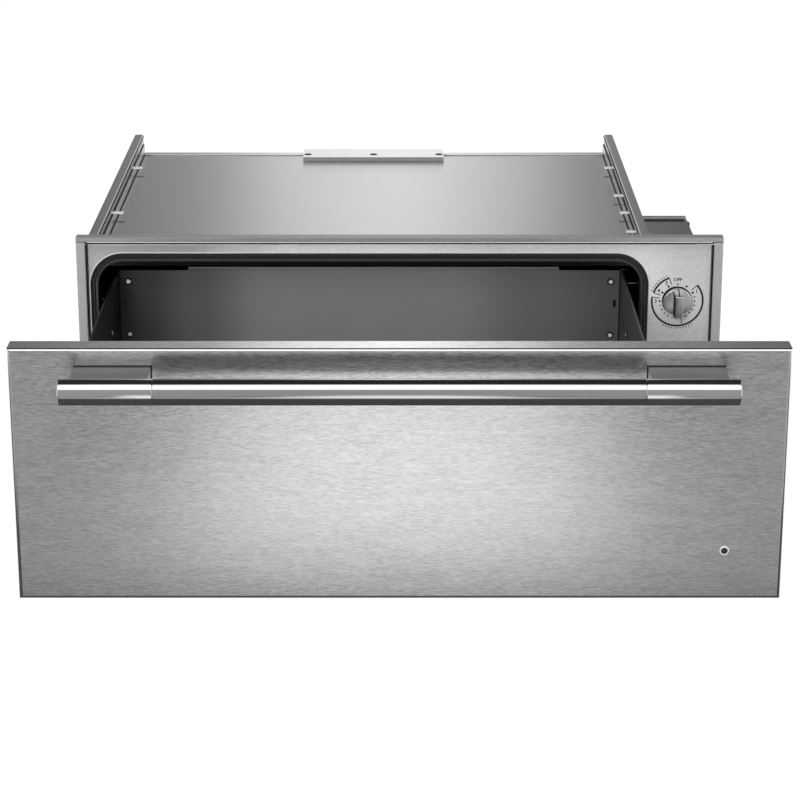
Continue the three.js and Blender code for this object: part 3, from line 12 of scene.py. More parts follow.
import bpy
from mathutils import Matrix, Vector

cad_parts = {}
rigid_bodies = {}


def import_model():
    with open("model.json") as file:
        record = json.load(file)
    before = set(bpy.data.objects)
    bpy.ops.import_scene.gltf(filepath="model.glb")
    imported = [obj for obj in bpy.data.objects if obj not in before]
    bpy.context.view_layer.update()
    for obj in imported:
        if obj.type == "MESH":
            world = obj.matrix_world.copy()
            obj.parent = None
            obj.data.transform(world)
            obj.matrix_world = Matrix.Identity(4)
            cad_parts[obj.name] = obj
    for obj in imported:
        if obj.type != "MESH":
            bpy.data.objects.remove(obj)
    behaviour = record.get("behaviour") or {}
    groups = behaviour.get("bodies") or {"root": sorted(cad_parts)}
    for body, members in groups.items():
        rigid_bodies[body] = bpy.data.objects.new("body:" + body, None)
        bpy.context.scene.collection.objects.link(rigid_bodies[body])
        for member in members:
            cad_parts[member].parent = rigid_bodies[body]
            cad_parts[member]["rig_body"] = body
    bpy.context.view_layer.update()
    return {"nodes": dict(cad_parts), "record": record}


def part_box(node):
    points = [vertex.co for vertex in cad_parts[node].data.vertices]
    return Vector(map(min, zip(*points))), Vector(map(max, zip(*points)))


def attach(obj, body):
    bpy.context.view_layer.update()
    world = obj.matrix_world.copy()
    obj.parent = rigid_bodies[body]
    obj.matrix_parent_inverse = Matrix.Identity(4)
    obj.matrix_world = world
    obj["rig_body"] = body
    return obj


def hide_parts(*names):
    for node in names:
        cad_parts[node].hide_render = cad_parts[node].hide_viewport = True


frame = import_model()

nodes = frame["nodes"]

# %% [markdown]
# ## The camera
# A photo of a product is taken from far away with a long lens, so that its edges stay nearly
# parallel. The place and the lens below were worked out from the corners of the drawer front and of
# the trim frame.

# %% Camera
LOOKS_DOWN = math.radians(18.43)
camera_data = bpy.data.cameras.new("product_lens")
camera_data.lens = 112.3
camera_data.sensor_width = 36.0
camera = bpy.data.objects.new("camera", camera_data)
bpy.context.scene.collection.objects.link(camera)
camera.location = (0.0005, -2.7708, 0.9602)
camera.rotation_euler = (math.radians(90) - LOOKS_DOWN, 0, 0)
bpy.context.scene.camera = camera
print("camera", tuple(round(c, 3) for c in camera.location))

# %% [markdown]
# ## Small helpers
# Operators act on whatever is selected, so each helper first clears the selection. A finished
# piece keeps its object at the origin with its place in the mesh, like the pieces of the frame.


# %% Selection helpers
def select_only(piece):
    """Makes one piece the active and only selected object."""
    bpy.ops.object.select_all(action="DESELECT")
    piece.select_set(True)
    bpy.context.view_layer.objects.active = piece


def select_nothing(piece):
    """Deselects every vertex, edge and face of a mesh, in object mode."""
    for parts in (piece.data.vertices, piece.data.edges, piece.data.polygons):
        for part in parts:
            part.select = False


def settle(piece):
    """Moves the object's place, turn and scale into its mesh."""
    select_only(piece)
    bpy.ops.object.transform_apply(location=True, rotation=True, scale=True)
    return piece


def use_modifier(piece, kind, **settings):
    """Adds a modifier with these settings and applies it at once."""
    select_only(piece)
    modifier = piece.modifiers.new(kind.lower(), kind)
    for name, value in settings.items():
        setattr(modifier, name, value)
    bpy.ops.object.modifier_apply(modifier=modifier.name)


# %% Finishing helpers
def smooth(piece, degrees=35):
    """Shades smoothly across edges that are flatter than the angle."""
    select_only(piece)
    bpy.ops.object.shade_smooth_by_angle(angle=math.radians(degrees))
    return piece


def paint(piece, material):
    """Gives the whole piece one material."""
    piece.data.materials.clear()
    piece.data.materials.append(material)


def fit(piece, name, body, material):
    """Names a finished piece, lets it ride on its body and gives it its finish."""
    settle(piece)
    piece.name = name
    piece.data.name = name
    paint(piece, material)
    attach(piece, body)
    return piece


# %% [markdown]
# ## Brushed grain as one node group
# Brushed steel is scratched along one direction by an abrasive belt. The scratches are far longer
# than they are wide, so a noise that is stretched along them gives their light and dark streaks.
# Every brushed finish here shares this group, each with its own direction and strength.


# %% Sockets and math nodes
def socket(tree, name, kind, direction, value=None):
    """Adds a named input or output to a node group."""
    made = tree.interface.new_socket(name=name, in_out=direction, socket_type=kind)
    if value is not None:
        made.default_value = value


def math_node(tree, operation, kind="ShaderNodeMath"):
    """Adds a node that does one operation on numbers, or on vectors."""
    node = tree.nodes.new(kind)
    node.operation = operation
    return node


# %% Grain group
FINE_DETAIL, FINE_ROUGHNESS = 3.0, 0.65
BROAD_SCALE, BROAD_DETAIL, BROAD_SHARE = 0.12, 2.0, 0.2
STREAK_MIDDLE = 0.6


def build_grain():
    """Streaks along one axis: a colour, a roughness and a height that vary across them."""
    tree = bpy.data.node_groups.new("brushed_grain", "ShaderNodeTree")
    socket(tree, "Stretch", "NodeSocketVector", "INPUT", (6, 900, 900))
    socket(tree, "Colour", "NodeSocketColor", "INPUT", (0.6, 0.6, 0.6, 1))
    socket(tree, "Contrast", "NodeSocketFloat", "INPUT", 0.12)
    socket(tree, "Roughness", "NodeSocketFloat", "INPUT", 0.3)
    socket(tree, "Roughness Spread", "NodeSocketFloat", "INPUT", 0.08)
    socket(tree, "Colour", "NodeSocketColor", "OUTPUT")
    socket(tree, "Roughness", "NodeSocketFloat", "OUTPUT")
    socket(tree, "Height", "NodeSocketFloat", "OUTPUT")
    new, link = tree.nodes.new, tree.links.new
    inside, outside = new("NodeGroupInput"), new("NodeGroupOutput")
    place = new("ShaderNodeTexCoord")
    stretched = math_node(tree, "MULTIPLY", "ShaderNodeVectorMath")
    link(place.outputs["Object"], stretched.inputs[0])
    link(inside.outputs["Stretch"], stretched.inputs[1])
    fine = new("ShaderNodeTexNoise")
    fine.inputs["Scale"].default_value = 1.0
    fine.inputs["Detail"].default_value = FINE_DETAIL
    fine.inputs["Roughness"].default_value = FINE_ROUGHNESS
    link(stretched.outputs["Vector"], fine.inputs["Vector"])
    broad = new("ShaderNodeTexNoise")
    broad.inputs["Scale"].default_value = BROAD_SCALE
    broad.inputs["Detail"].default_value = BROAD_DETAIL
    link(stretched.outputs["Vector"], broad.inputs["Vector"])
    streak = math_node(tree, "MULTIPLY_ADD")
    link(broad.outputs["Fac"], streak.inputs[0])
    streak.inputs[1].default_value = BROAD_SHARE
    link(fine.outputs["Fac"], streak.inputs[2])
    centred = math_node(tree, "SUBTRACT")
    link(streak.outputs["Value"], centred.inputs[0])
    centred.inputs[1].default_value = STREAK_MIDDLE
    tint = math_node(tree, "MULTIPLY_ADD")
    link(centred.outputs["Value"], tint.inputs[0])
    link(inside.outputs["Contrast"], tint.inputs[1])
    tint.inputs[2].default_value = 1.0
    coloured = math_node(tree, "SCALE", "ShaderNodeVectorMath")
    link(inside.outputs["Colour"], coloured.inputs[0])
    link(tint.outputs["Value"], coloured.inputs["Scale"])
    rough = math_node(tree, "MULTIPLY_ADD")
    link(centred.outputs["Value"], rough.inputs[0])
    link(inside.outputs["Roughness Spread"], rough.inputs[1])
    link(inside.outputs["Roughness"], rough.inputs[2])
    link(coloured.outputs["Vector"], outside.inputs["Colour"])
    link(rough.outputs["Value"], outside.inputs["Roughness"])
    link(fine.outputs["Fac"], outside.inputs["Height"])
    return tree


GRAIN = build_grain()
print("grain group sockets:", len(GRAIN.interface.items_tree))

# %% [markdown]
# ## Metals
# Every metal is one Principled shader that takes its colour, roughness and height from the grain
# group. The brightness of a long sheet also changes from end to end, with what it mirrors and the
# light and shade that fall on it. A card that only reflections see could give that, but it would
# change the pieces beside it too, so the colour of two sheets fades along X through a few stops, set
# until the brightness looked right from the front: painted light on the plate, painted shade on the
# back of the drawer. The fade stays in the sheet from every side. The same ramp shapes the cards
# later.


# %% Brightness along a line
def ramp_along(tree, coordinate, half, stops):
    """Brightness stops at places in metres along one axis, from -half to half."""
    place = tree.nodes.new("ShaderNodeMapRange")
    place.inputs["From Min"].default_value = -half
    place.inputs["From Max"].default_value = half
    ramp = tree.nodes.new("ShaderNodeValToRGB")
    ramp.color_ramp.interpolation = "EASE"
    elements = ramp.color_ramp.elements
    while len(elements) < len(stops):
        elements.new(0.5)
    for element, (where, value) in zip(elements, stops):
        element.position = (where + half) / (2 * half)
        element.color = (value, value, value, 1)
    tree.links.new(coordinate, place.inputs["Value"])
    tree.links.new(place.outputs["Result"], ramp.inputs["Fac"])
    return ramp.outputs["Color"]


# %% Metal finish
SCRATCH_DEPTH = 0.0002


def new_material(name):
    """An empty node material and its Principled shader."""
    material = bpy.data.materials.new(name)
    material.use_nodes = True
    return material, material.node_tree, material.node_tree.nodes["Principled BSDF"]


def metal(name, colour, stretch, contrast, roughness, spread, bump, metallic=1.0):
    """A metal with streaks; stretch says how fast the grain changes along X, Y and Z."""
    material, tree, shader = new_material(name)
    grain = tree.nodes.new("ShaderNodeGroup")
    grain.node_tree = GRAIN
    grain.inputs["Stretch"].default_value = stretch
    grain.inputs["Colour"].default_value = (*colour, 1)
    grain.inputs["Contrast"].default_value = contrast
    grain.inputs["Roughness"].default_value = roughness
    grain.inputs["Roughness Spread"].default_value = spread
    relief = tree.nodes.new("ShaderNodeBump")
    relief.inputs["Strength"].default_value = bump
    relief.inputs["Distance"].default_value = SCRATCH_DEPTH
    tree.links.new(grain.outputs["Colour"], shader.inputs["Base Color"])
    tree.links.new(grain.outputs["Roughness"], shader.inputs["Roughness"])
    tree.links.new(grain.outputs["Height"], relief.inputs["Height"])
    tree.links.new(relief.outputs["Normal"], shader.inputs["Normal"])
    shader.inputs["Metallic"].default_value = metallic
    return material


# %% Painted light and shade along X
FADE_REACH = 0.4


def paint_light_along_x(material, stops):
    """Multiplies the colour of a metal by stops at places in metres along X: painted light and shade."""
    tree = material.node_tree
    shader = tree.nodes["Principled BSDF"]
    colour = shader.inputs["Base Color"].links[0].from_socket
    place = tree.nodes.new("ShaderNodeTexCoord")
    split = tree.nodes.new("ShaderNodeSeparateXYZ")
    tree.links.new(place.outputs["Object"], split.inputs["Vector"])
    factor = math_node(tree, "SCALE", "ShaderNodeVectorMath")
    tree.links.new(colour, factor.inputs[0])
    fade = ramp_along(tree, split.outputs["X"], FADE_REACH, stops)
    tree.links.new(fade, factor.inputs["Scale"])
    tree.links.new(factor.outputs["Vector"], shader.inputs["Base Color"])


print("fades reach", FADE_REACH, "m to both sides")

# %% [markdown]
# ## The metals of this drawer
# The front, the plate and the trim frame are brushed with a belt, so their streaks run along the
# piece, some seven times as long as wide. Rolled sheets have longer, broader and weaker streaks, and
# turned pieces have fine rings. The numbers after the stretch are the contrast of the streaks, the
# roughness, its spread, the height of the streaks and how metallic the finish is.

# %% Brushed metals
ALONG_X = (150, 1000, 1000)
ALONG_Z = (1000, 1000, 150)
brushed = metal("brushed_front_steel", (0.66, 0.66, 0.655), ALONG_X, 1.2, 0.21, 0.1, 0.12)
brushed_upright = metal("brushed_side_bar_steel", (0.70, 0.70, 0.695), ALONG_Z, 0.5, 0.34, 0.1, 0.1, 0.6)
rim_steel = metal("brushed_top_bar_steel", (0.56, 0.56, 0.555), ALONG_X, 1.0, 0.36, 0.1, 0.15, 0.6)
# The upper face of the top bar gets this darker steel: painted shade.
top_face_painted_shade = metal("top_bar_upper_face_painted_shade", (0.34, 0.34, 0.335), ALONG_X, 1.0, 0.45, 0.1, 0.1, 0.3)
plate_steel = metal("brushed_plate_steel", (0.88, 0.88, 0.875), ALONG_X, 0.8, 0.36, 0.1, 0.15, 0.1)
# The plate's colour is brightest in the middle and darker towards both ends, most at the left: painted
# light.
PLATE_LEFT_PAINTED_LIGHT = [(-0.36, 0.62), (-0.30, 0.55), (-0.24, 0.56), (-0.18, 0.84), (-0.12, 1.05)]
PLATE_RIGHT_PAINTED_LIGHT = [(-0.02, 1.12), (0.05, 1.06), (0.10, 0.97), (0.28, 0.97), (0.33, 0.80)]
paint_light_along_x(plate_steel, PLATE_LEFT_PAINTED_LIGHT + PLATE_RIGHT_PAINTED_LIGHT)
fold_steel = metal("polished_fold_steel", (0.80, 0.80, 0.795), ALONG_X, 0.1, 0.07, 0.02, 0.0)
foot_steel = metal("satin_foot_steel", (0.47, 0.47, 0.465), ALONG_X, 0.08, 0.3, 0.06, 0.04)
print("brushed metals:", len(bpy.data.materials))

# %% Turned and plated metals, and a near-white steel for painted highlight
AROUND_X = (1500, 25, 25)
# This near-white steel is painted highlight, on edges, tabs, screw heads and the grip.
painted_highlight = metal("painted_highlight_steel", (0.92, 0.92, 0.92), (200, 200, 200), 0.1, 0.4, 0.05, 0.01, 0.1)
bar_steel = metal("turned_bar_steel", (0.60, 0.60, 0.59), AROUND_X, 0.08, 0.10, 0.04, 0.02)
sleeve_steel = metal("turned_sleeve_steel", (0.66, 0.66, 0.65), AROUND_X, 0.08, 0.12, 0.04, 0.02)
knob_steel = metal("satin_knob_metal", (0.72, 0.72, 0.71), (60, 60, 60), 0.04, 0.2, 0.04, 0.01, 0.85)
zinc = metal("zinc_plate", (0.55, 0.56, 0.57), (80, 80, 80), 0.1, 0.3, 0.1, 0.02)
bright = metal("bright_steel", (0.92, 0.92, 0.91), (90, 90, 90), 0.05, 0.16, 0.04, 0.01, 0.5)
sheath = metal("browned_heater_sheath", (0.13, 0.10, 0.08), (40, 40, 40), 0.4, 0.45, 0.15, 0.05)
print("with turned, plated and cut metals:", len(bpy.data.materials))

# %% Rolled sheets of the chassis
ROLLED_X, ROLLED_Y = (14, 260, 260), (260, 14, 260)
satin_sheet = metal("satin_chassis_sheet", (0.50, 0.50, 0.50), ROLLED_X, 0.1, 0.32, 0.08, 0.05)
# The bracket is near white: painted light.
bracket_painted_light = metal("bracket_sheet_painted_light", (0.95, 0.95, 0.95), ROLLED_X, 0.05, 0.3, 0.05, 0.02, 0.2)
# This tone is painted light and shade: on the rear flange's upper faces, the bracket's front, the grip's
# front and the lip of the control box.
light_and_shade_sheet = metal("satin_sheet_painted_light_and_shade", (0.66, 0.66, 0.66), ROLLED_X, 0.05, 0.3, 0.05, 0.02)
dull_edge = metal("dull_cut_edge", (0.24, 0.24, 0.24), ROLLED_X, 0.1, 0.5, 0.05, 0.02)
chassis_sheet = metal("satin_side_sheet", (0.42, 0.42, 0.42), ROLLED_Y, 0.1, 0.34, 0.08, 0.05)
# The cover's sheet is darker than the side panels: painted shade.
cover_painted_shade = metal("satin_cover_sheet_painted_shade", (0.30, 0.30, 0.30), ROLLED_Y, 0.1, 0.34, 0.08, 0.05)
print("with the sheets of the chassis:", len(bpy.data.materials))

# %% Rolled sheets of the drawer box
DULL_X = (18, 200, 200)
cavity_sheet = metal("cavity_sheet", (0.05, 0.05, 0.05), DULL_X, 0.14, 0.36, 0.08, 0.04)
box_sheet = metal("drawer_box_sheet", (0.24, 0.24, 0.24), DULL_X, 0.1, 0.4, 0.08, 0.04, 0.5)
back_sheet = metal("drawer_back_sheet", (0.42, 0.42, 0.42), DULL_X, 0.1, 0.4, 0.08, 0.04, 0.5)
# The back of the drawer darkens towards both ends, most at the left: painted shade.
BACK_LEFT_PAINTED_SHADE = [(-0.33, 0.14), (-0.30, 0.26), (-0.24, 0.5), (-0.15, 1.0)]
BACK_RIGHT_PAINTED_SHADE = [(0.05, 1.0), (0.16, 0.66), (0.26, 0.48)]
paint_light_along_x(back_sheet, BACK_LEFT_PAINTED_SHADE + BACK_RIGHT_PAINTED_SHADE)
# The two sides are one sheet: the darker left copy is painted shade, the lighter right copy painted
# light.
side_painted_shade = metal("drawer_side_painted_shade", (0.015, 0.015, 0.015), DULL_X, 0.1, 0.4, 0.08, 0.04, 0.8)
side_painted_light = metal("drawer_side_painted_light", (0.10, 0.10, 0.10), DULL_X, 0.1, 0.4, 0.08, 0.04, 0.5)
# This lighter sheet is painted highlight, on the top edge of the drawer's back.
box_edge_highlight = metal("box_sheet_painted_highlight", (0.5, 0.5, 0.5), ROLLED_X, 0.1, 0.4, 0.05, 0.02, 0.3)
print("metals:", len(bpy.data.materials))

# %% [markdown]
# ## Galvanised sheet
# Hidden sheets are galvanised. Zinc freezes in flat crystals a few millimetres across, each with a
# slightly different brightness, which a Voronoi texture's cell colours imitate.


# %% Galvanised finish
CELLS = 120
DARK_CELL, LIGHT_CELL = 0.34, 0.52
SMOOTH_CELL, ROUGH_CELL = 0.34, 0.5


def galvanised_finish():
    """Zinc spangle: the cells vary in brightness and in gloss."""
    material, tree, shader = new_material("galvanised_sheet")
    place = tree.nodes.new("ShaderNodeTexCoord")
    cells = tree.nodes.new("ShaderNodeTexVoronoi")
    cells.inputs["Scale"].default_value = CELLS
    shade = tree.nodes.new("ShaderNodeMapRange")
    shade.inputs["To Min"].default_value = DARK_CELL
    shade.inputs["To Max"].default_value = LIGHT_CELL
    gloss = tree.nodes.new("ShaderNodeMapRange")
    gloss.inputs["To Min"].default_value = SMOOTH_CELL
    gloss.inputs["To Max"].default_value = ROUGH_CELL
    split = tree.nodes.new("ShaderNodeSeparateColor")
    tree.links.new(place.outputs["Object"], cells.inputs["Vector"])
    tree.links.new(cells.outputs["Color"], split.inputs["Color"])
    tree.links.new(split.outputs["Red"], shade.inputs["Value"])
    tree.links.new(split.outputs["Green"], gloss.inputs["Value"])
    tree.links.new(shade.outputs["Result"], shader.inputs["Base Color"])
    tree.links.new(gloss.outputs["Result"], shader.inputs["Roughness"])
    shader.inputs["Metallic"].default_value = 1.0
    return material


galvanised = galvanised_finish()
print("zinc crystals", round(1000 / CELLS, 1), "mm across")

# %% [markdown]
# ## Finishes that aren't metal
# The gasket is matt silicone rubber, the lagging a felt of mineral fibre, and the thermostat's body
# and the terminal block are moulded plastic. Each gets a fine uneven surface from a noise, because
# no moulding is perfectly even.


# %% Uneven surface
NOISE_DETAIL = 5.0
DARK_END, LIGHT_END = 0.3, 0.7


def uneven(name, dark, light, scale, roughness, bump, depth=0.0003, coat=0.0):
    """A surface whose colour and height wander between two tones."""
    material, tree, shader = new_material(name)
    place = tree.nodes.new("ShaderNodeTexCoord")
    noise = tree.nodes.new("ShaderNodeTexNoise")
    noise.inputs["Scale"].default_value = scale
    noise.inputs["Detail"].default_value = NOISE_DETAIL
    ramp = tree.nodes.new("ShaderNodeValToRGB")
    ramp.color_ramp.elements[0].color = (*dark, 1)
    ramp.color_ramp.elements[1].color = (*light, 1)
    ramp.color_ramp.elements[0].position = DARK_END
    ramp.color_ramp.elements[1].position = LIGHT_END
    relief = tree.nodes.new("ShaderNodeBump")
    relief.inputs["Strength"].default_value = bump
    relief.inputs["Distance"].default_value = depth
    tree.links.new(place.outputs["Object"], noise.inputs["Vector"])
    tree.links.new(noise.outputs["Fac"], ramp.inputs["Fac"])
    tree.links.new(ramp.outputs["Color"], shader.inputs["Base Color"])
    tree.links.new(noise.outputs["Fac"], relief.inputs["Height"])
    tree.links.new(relief.outputs["Normal"], shader.inputs["Normal"])
    shader.inputs["Roughness"].default_value = roughness
    shader.inputs["Coat Weight"].default_value = coat
    return material


# %% Rubber, felt, plastic, ink and painted shade
bead_rubber = uneven("silicone_bead", (0.055, 0.055, 0.055), (0.08, 0.08, 0.08), 300, 0.35, 0.1)
# This grey is a painted reflection, in the grooves beside the plate.
grey_groove_reflection = uneven("grey_painted_reflection", (0.10, 0.10, 0.10), (0.16, 0.16, 0.16), 300, 0.7, 0.1)
# This near-black is the gasket's own colour, and painted shade beside the beads, round the feet, in the
# grooves, along the chassis walls and in the control box's joint.
gasket_rubber_and_shade = uneven("silicone_gasket_and_painted_shade", (0.003, 0.003, 0.003), (0.006, 0.006, 0.006), 300, 0.6, 0.1)
lagging = uneven("mineral_felt", (0.42, 0.38, 0.30), (0.72, 0.68, 0.58), 420, 0.95, 0.9, 0.001)
black_plastic = uneven("black_moulding", (0.012, 0.012, 0.012), (0.022, 0.022, 0.022), 900, 0.45, 0.2)
lens_plastic = uneven("smoked_lens", (0.010, 0.009, 0.008), (0.02, 0.017, 0.014), 60, 0.08, 0.0, coat=0.6)
# This black is the dial's print and the dark joints of the trim, and painted shade in the washer behind
# the knob and the pointer's groove.
black_ink_and_shade = uneven("black_ink_and_painted_shade", (0.006, 0.006, 0.006), (0.012, 0.012, 0.012), 500, 0.5, 0.05)
# This near-black is painted shade: in slots, holes and corners, on screw rims, on the fold of the front
# and on the grip.
painted_shade_finish = uneven("painted_shade_black", (0.004, 0.004, 0.004), (0.008, 0.008, 0.008), 200, 0.7, 0.1)
print("finishes:", len(bpy.data.materials))

# %% [markdown]
# ## Finishes for the pieces of the frame
# Each piece of the frame keeps its shape and gets its finish by material slot. Naming the finish
# piece by piece would say the same thing sixty times.

# %% Dress the frame by slot
FINISH_BY_SLOT = {
    "brushed_stainless": brushed,
    "polished_bar": bright,
    "satin_sheet": satin_sheet,
    "cavity_sheet": cavity_sheet,
    "galvanised": galvanised,
    "zinc_plated": zinc,
    "gasket": gasket_rubber_and_shade,
    "lagging": lagging,
    "black_plastic": black_plastic,
    "lens": lens_plastic,
    "heater_sheath": sheath,
}
slot_of = {part["node"]: part["material_slot"] for part in frame["record"]["subparts"]}
for node_name, node in nodes.items():
    paint(node, FINISH_BY_SLOT[slot_of[node_name]])
print("dressed", len(slot_of), "nodes")

# %% [markdown]
# ## Copies with rounded edges
# Sheets and bars whose edges show are replaced by copies with softly rounded edges, because a folded
# or sheared edge always has a small radius that glints. The copy's loose triangles are joined and
# its flat faces made one first, so that the bevel finds the true edges. Weighted normals keep the
# flat faces flat beside their rounded edges.

# %% Copying and rounding
SHEET_EDGE, BAR_EDGE, FINE_EDGE, FOOT_EDGE = 0.0004, 0.00045, 0.0002, 0.0009


def merged_copy(node_name):
    """A copy of a frame node with its corners joined and its flat faces made one."""
    source = nodes[node_name]
    piece = bpy.data.objects.new(node_name + "_rounded", source.data.copy())
    bpy.context.scene.collection.objects.link(piece)
    select_only(piece)
    bpy.ops.object.mode_set(mode="EDIT")
    bpy.ops.mesh.select_all(action="SELECT")
    bpy.ops.mesh.remove_doubles(threshold=0.00001)
    bpy.ops.mesh.dissolve_limited(angle_limit=math.radians(0.5))
    bpy.ops.object.mode_set(mode="OBJECT")
    return piece


def round_edges(piece, width, segments, limit=math.radians(60)):
    """Bevels the edges that turn by more than the limit."""
    use_modifier(piece, "BEVEL", width=width, segments=segments, limit_method="ANGLE", angle_limit=limit)


def finish_copy(piece, node_name, edge, material=None, segments=2):
    """Rounds the copy's edges, shades it and lets it stand in for the node."""
    source = nodes[node_name]
    if edge:
        round_edges(piece, edge, segments, math.radians(40))
    smooth(piece)
    if edge:
        use_modifier(piece, "WEIGHTED_NORMAL", mode="FACE_AREA", weight=100, keep_sharp=True)
    material = material or source.data.materials[0]
    fit(piece, node_name + "_rounded", source["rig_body"], material)
    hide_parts(node_name)
    return piece


def rounded_copy(node_name, edge, material=None, segments=2):
    """A copy of a frame node with rounded edges."""
    return finish_copy(merged_copy(node_name), node_name, edge, material, segments)


# %% Rounded sheets and bars
SHEETS_AND_BARS = [
    ("rim_bottom_bar", BAR_EDGE, brushed),
    ("top_panel", SHEET_EDGE, satin_sheet),
    ("control_housing", SHEET_EDGE, galvanised),
    ("front_inner_panel", SHEET_EDGE, galvanised),
    ("drawer_front_wall", SHEET_EDGE, box_sheet),
    ("drawer_floor", SHEET_EDGE, box_sheet),
    ("drawer_back", SHEET_EDGE, back_sheet),
    ("drawer_side_left", SHEET_EDGE, side_painted_shade),
    ("drawer_side_right", SHEET_EDGE, side_painted_light),
    ("side_panel_left", SHEET_EDGE, chassis_sheet),
    ("side_panel_right", SHEET_EDGE, chassis_sheet),
    ("control_cover", SHEET_EDGE, cover_painted_shade),
    ("face_plate", SHEET_EDGE, plate_steel),
    ("rim_left_bar", BAR_EDGE, brushed_upright),
    ("rim_right_bar", BAR_EDGE, brushed_upright),
]
for node_name, edge, material in SHEETS_AND_BARS:
    rounded_copy(node_name, edge, material)
for side in ("left", "right"):
    rounded_copy("handle_foot_" + side, FOOT_EDGE, foot_steel, 3)
print("rounded sheets and bars:", len(SHEETS_AND_BARS), "and two feet")

# %% [markdown]
# ## Two finishes on one sheet
# The upper face of the top bar is darker than its front, as painted shade. The flange of the rear
# panel gets a lighter upper face and a near-white front edge, and the bracket a near-white body with
# a darker front: painted light and shade, by the way the faces point. Painting them would need a
# picture, and separate pieces would leave seams, so the faces that point one way get a second
# material slot.

# %% Second finishes
FACING, LEANING = 0.7, 0.5
FLANGE_Z = 0.2


def second_finish(piece, material, test):
    """Gives the faces that pass the test another finish."""
    piece.data.materials.append(material)
    number = len(piece.data.materials) - 1
    for face in piece.data.polygons:
        if test(face):
            face.material_index = number


top_bar = rounded_copy("rim_top_bar", FINE_EDGE, rim_steel)
second_finish(top_bar, top_face_painted_shade, lambda face: face.normal.z > FACING)
rear_sheet = rounded_copy("rear_panel", SHEET_EDGE)
second_finish(rear_sheet, light_and_shade_sheet, lambda face: face.normal.z > FACING and face.center.z > FLANGE_Z)
second_finish(rear_sheet, painted_highlight, lambda face: face.normal.y < -FACING and face.center.z > FLANGE_Z)
bracket = rounded_copy("rear_bracket", FINE_EDGE, bracket_painted_light)
second_finish(bracket, light_and_shade_sheet, lambda face: face.normal.y < -LEANING)
print("two finishes:", top_bar.name, rear_sheet.name, bracket.name)

# %% [markdown]
# ## The edge of the drawer front
# The skin is folded round all four edges of the front, so these have the radius of the fold, which
# is wider than that of a cut edge. A polished fold mirrors a wide sweep of its surroundings in a
# dark and a bright line. This studio is too plain to give these lines, so faces of the upper fold
# get a dark and a bright finish in their place. They stay there from every side. Only the edges of
# the outer face are bevelled, found by their place.

# %% Select the folded edges
SAME_PLACE = 0.00005


def outer_edges(piece, plane_y):
    """Selects the edges that lie in one plane across Y and on the outline of the piece."""
    points = [vertex.co for vertex in piece.data.vertices]
    sides = [min(p.x for p in points), max(p.x for p in points)]
    levels = [min(p.z for p in points), max(p.z for p in points)]

    def on_outline(point):
        """True for a point of the plane that lies on one side of the outline."""
        beside = min(abs(point.x - side) for side in sides) < SAME_PLACE
        above = min(abs(point.z - level) for level in levels) < SAME_PLACE
        return abs(point.y - plane_y) < SAME_PLACE and (beside or above)

    select_nothing(piece)
    for edge in piece.data.edges:
        edge.select = all(on_outline(points[v]) for v in edge.vertices)


# %% Folded front skin
FOLD_WIDTH, FOLD_SEGMENTS, FOLD_DEPTH = 0.0040, 7, 0.0042
CURVED, DARK_LINE, BRIGHT_LINE = (0.03, 0.995), (0.97, 0.9997), (0.80, 0.96)
front_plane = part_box("front_skin")[0].y
skin = merged_copy("front_skin")
outer_edges(skin, front_plane)
bpy.ops.object.mode_set(mode="EDIT")
bpy.ops.mesh.select_mode(type="EDGE")
bpy.ops.mesh.bevel(offset=FOLD_WIDTH, segments=FOLD_SEGMENTS)
bpy.ops.object.mode_set(mode="OBJECT")
finish_copy(skin, "front_skin", SHEET_EDGE)


def on_fold(face, slope, limits):
    """True for a face of the fold whose slope, one part of its normal, is within the limits."""
    return face.center.y < front_plane + FOLD_DEPTH and limits[0] < slope < limits[1]


second_finish(skin, fold_steel, lambda face: on_fold(face, abs(face.normal.y), CURVED))
second_finish(skin, painted_shade_finish, lambda face: on_fold(face, face.normal.z, DARK_LINE))
second_finish(skin, painted_highlight, lambda face: on_fold(face, face.normal.z, BRIGHT_LINE))
print("front plane at", round(front_plane, 4), "with", len(skin.data.polygons), "faces")

# %% [markdown]
# ## Round pieces
# The element, the bulb and its bracket, the bushing and the ball cages are round or hold round
# pieces. The frame has them in flat facets. More sides would change their shape, so their copies
# are only shaded smoothly.

# %% Smooth copies of round pieces
round_pieces = ["heating_element", "thermostat_bulb", "inlet_bushing", "bulb_bracket"]
for side in ("left", "right"):
    round_pieces += ["ball_cage_outer_" + side, "ball_cage_inner_" + side]
for node_name in round_pieces:
    rounded_copy(node_name, 0)
print("round pieces:", len(round_pieces))

# %% [markdown]
# ## The gasket of the mouth
# A silicone gasket with two beads lines the mouth. The beads shine a little, and the faces beside
# them are matt and near black as painted shade, in the gap round the plate and deep in the mouth.
# The frame's piece has the beads already, so its copy gets the near-black finish on the faces beside
# them. These are found by how far they lie inside the mouth's outline.

# %% Gasket
MOUTH_RADIUS = 0.0375
BEADS_START, BEADS_END = 0.0022, 0.0102
mouth_low, mouth_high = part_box("mouth_gasket")


def depth_in_mouth(point):
    """How far a point lies inside the outline of the mouth."""
    reach_x = abs(point.x - (mouth_low.x + mouth_high.x) / 2) - (mouth_high.x - mouth_low.x) / 2
    reach_z = abs(point.z - (mouth_low.z + mouth_high.z) / 2) - (mouth_high.z - mouth_low.z) / 2
    corner_x, corner_z = reach_x + MOUTH_RADIUS, reach_z + MOUTH_RADIUS
    if corner_x > 0 and corner_z > 0:
        return MOUTH_RADIUS - math.hypot(corner_x, corner_z)
    return -max(reach_x, reach_z)


gasket = rounded_copy("mouth_gasket", 0, bead_rubber)
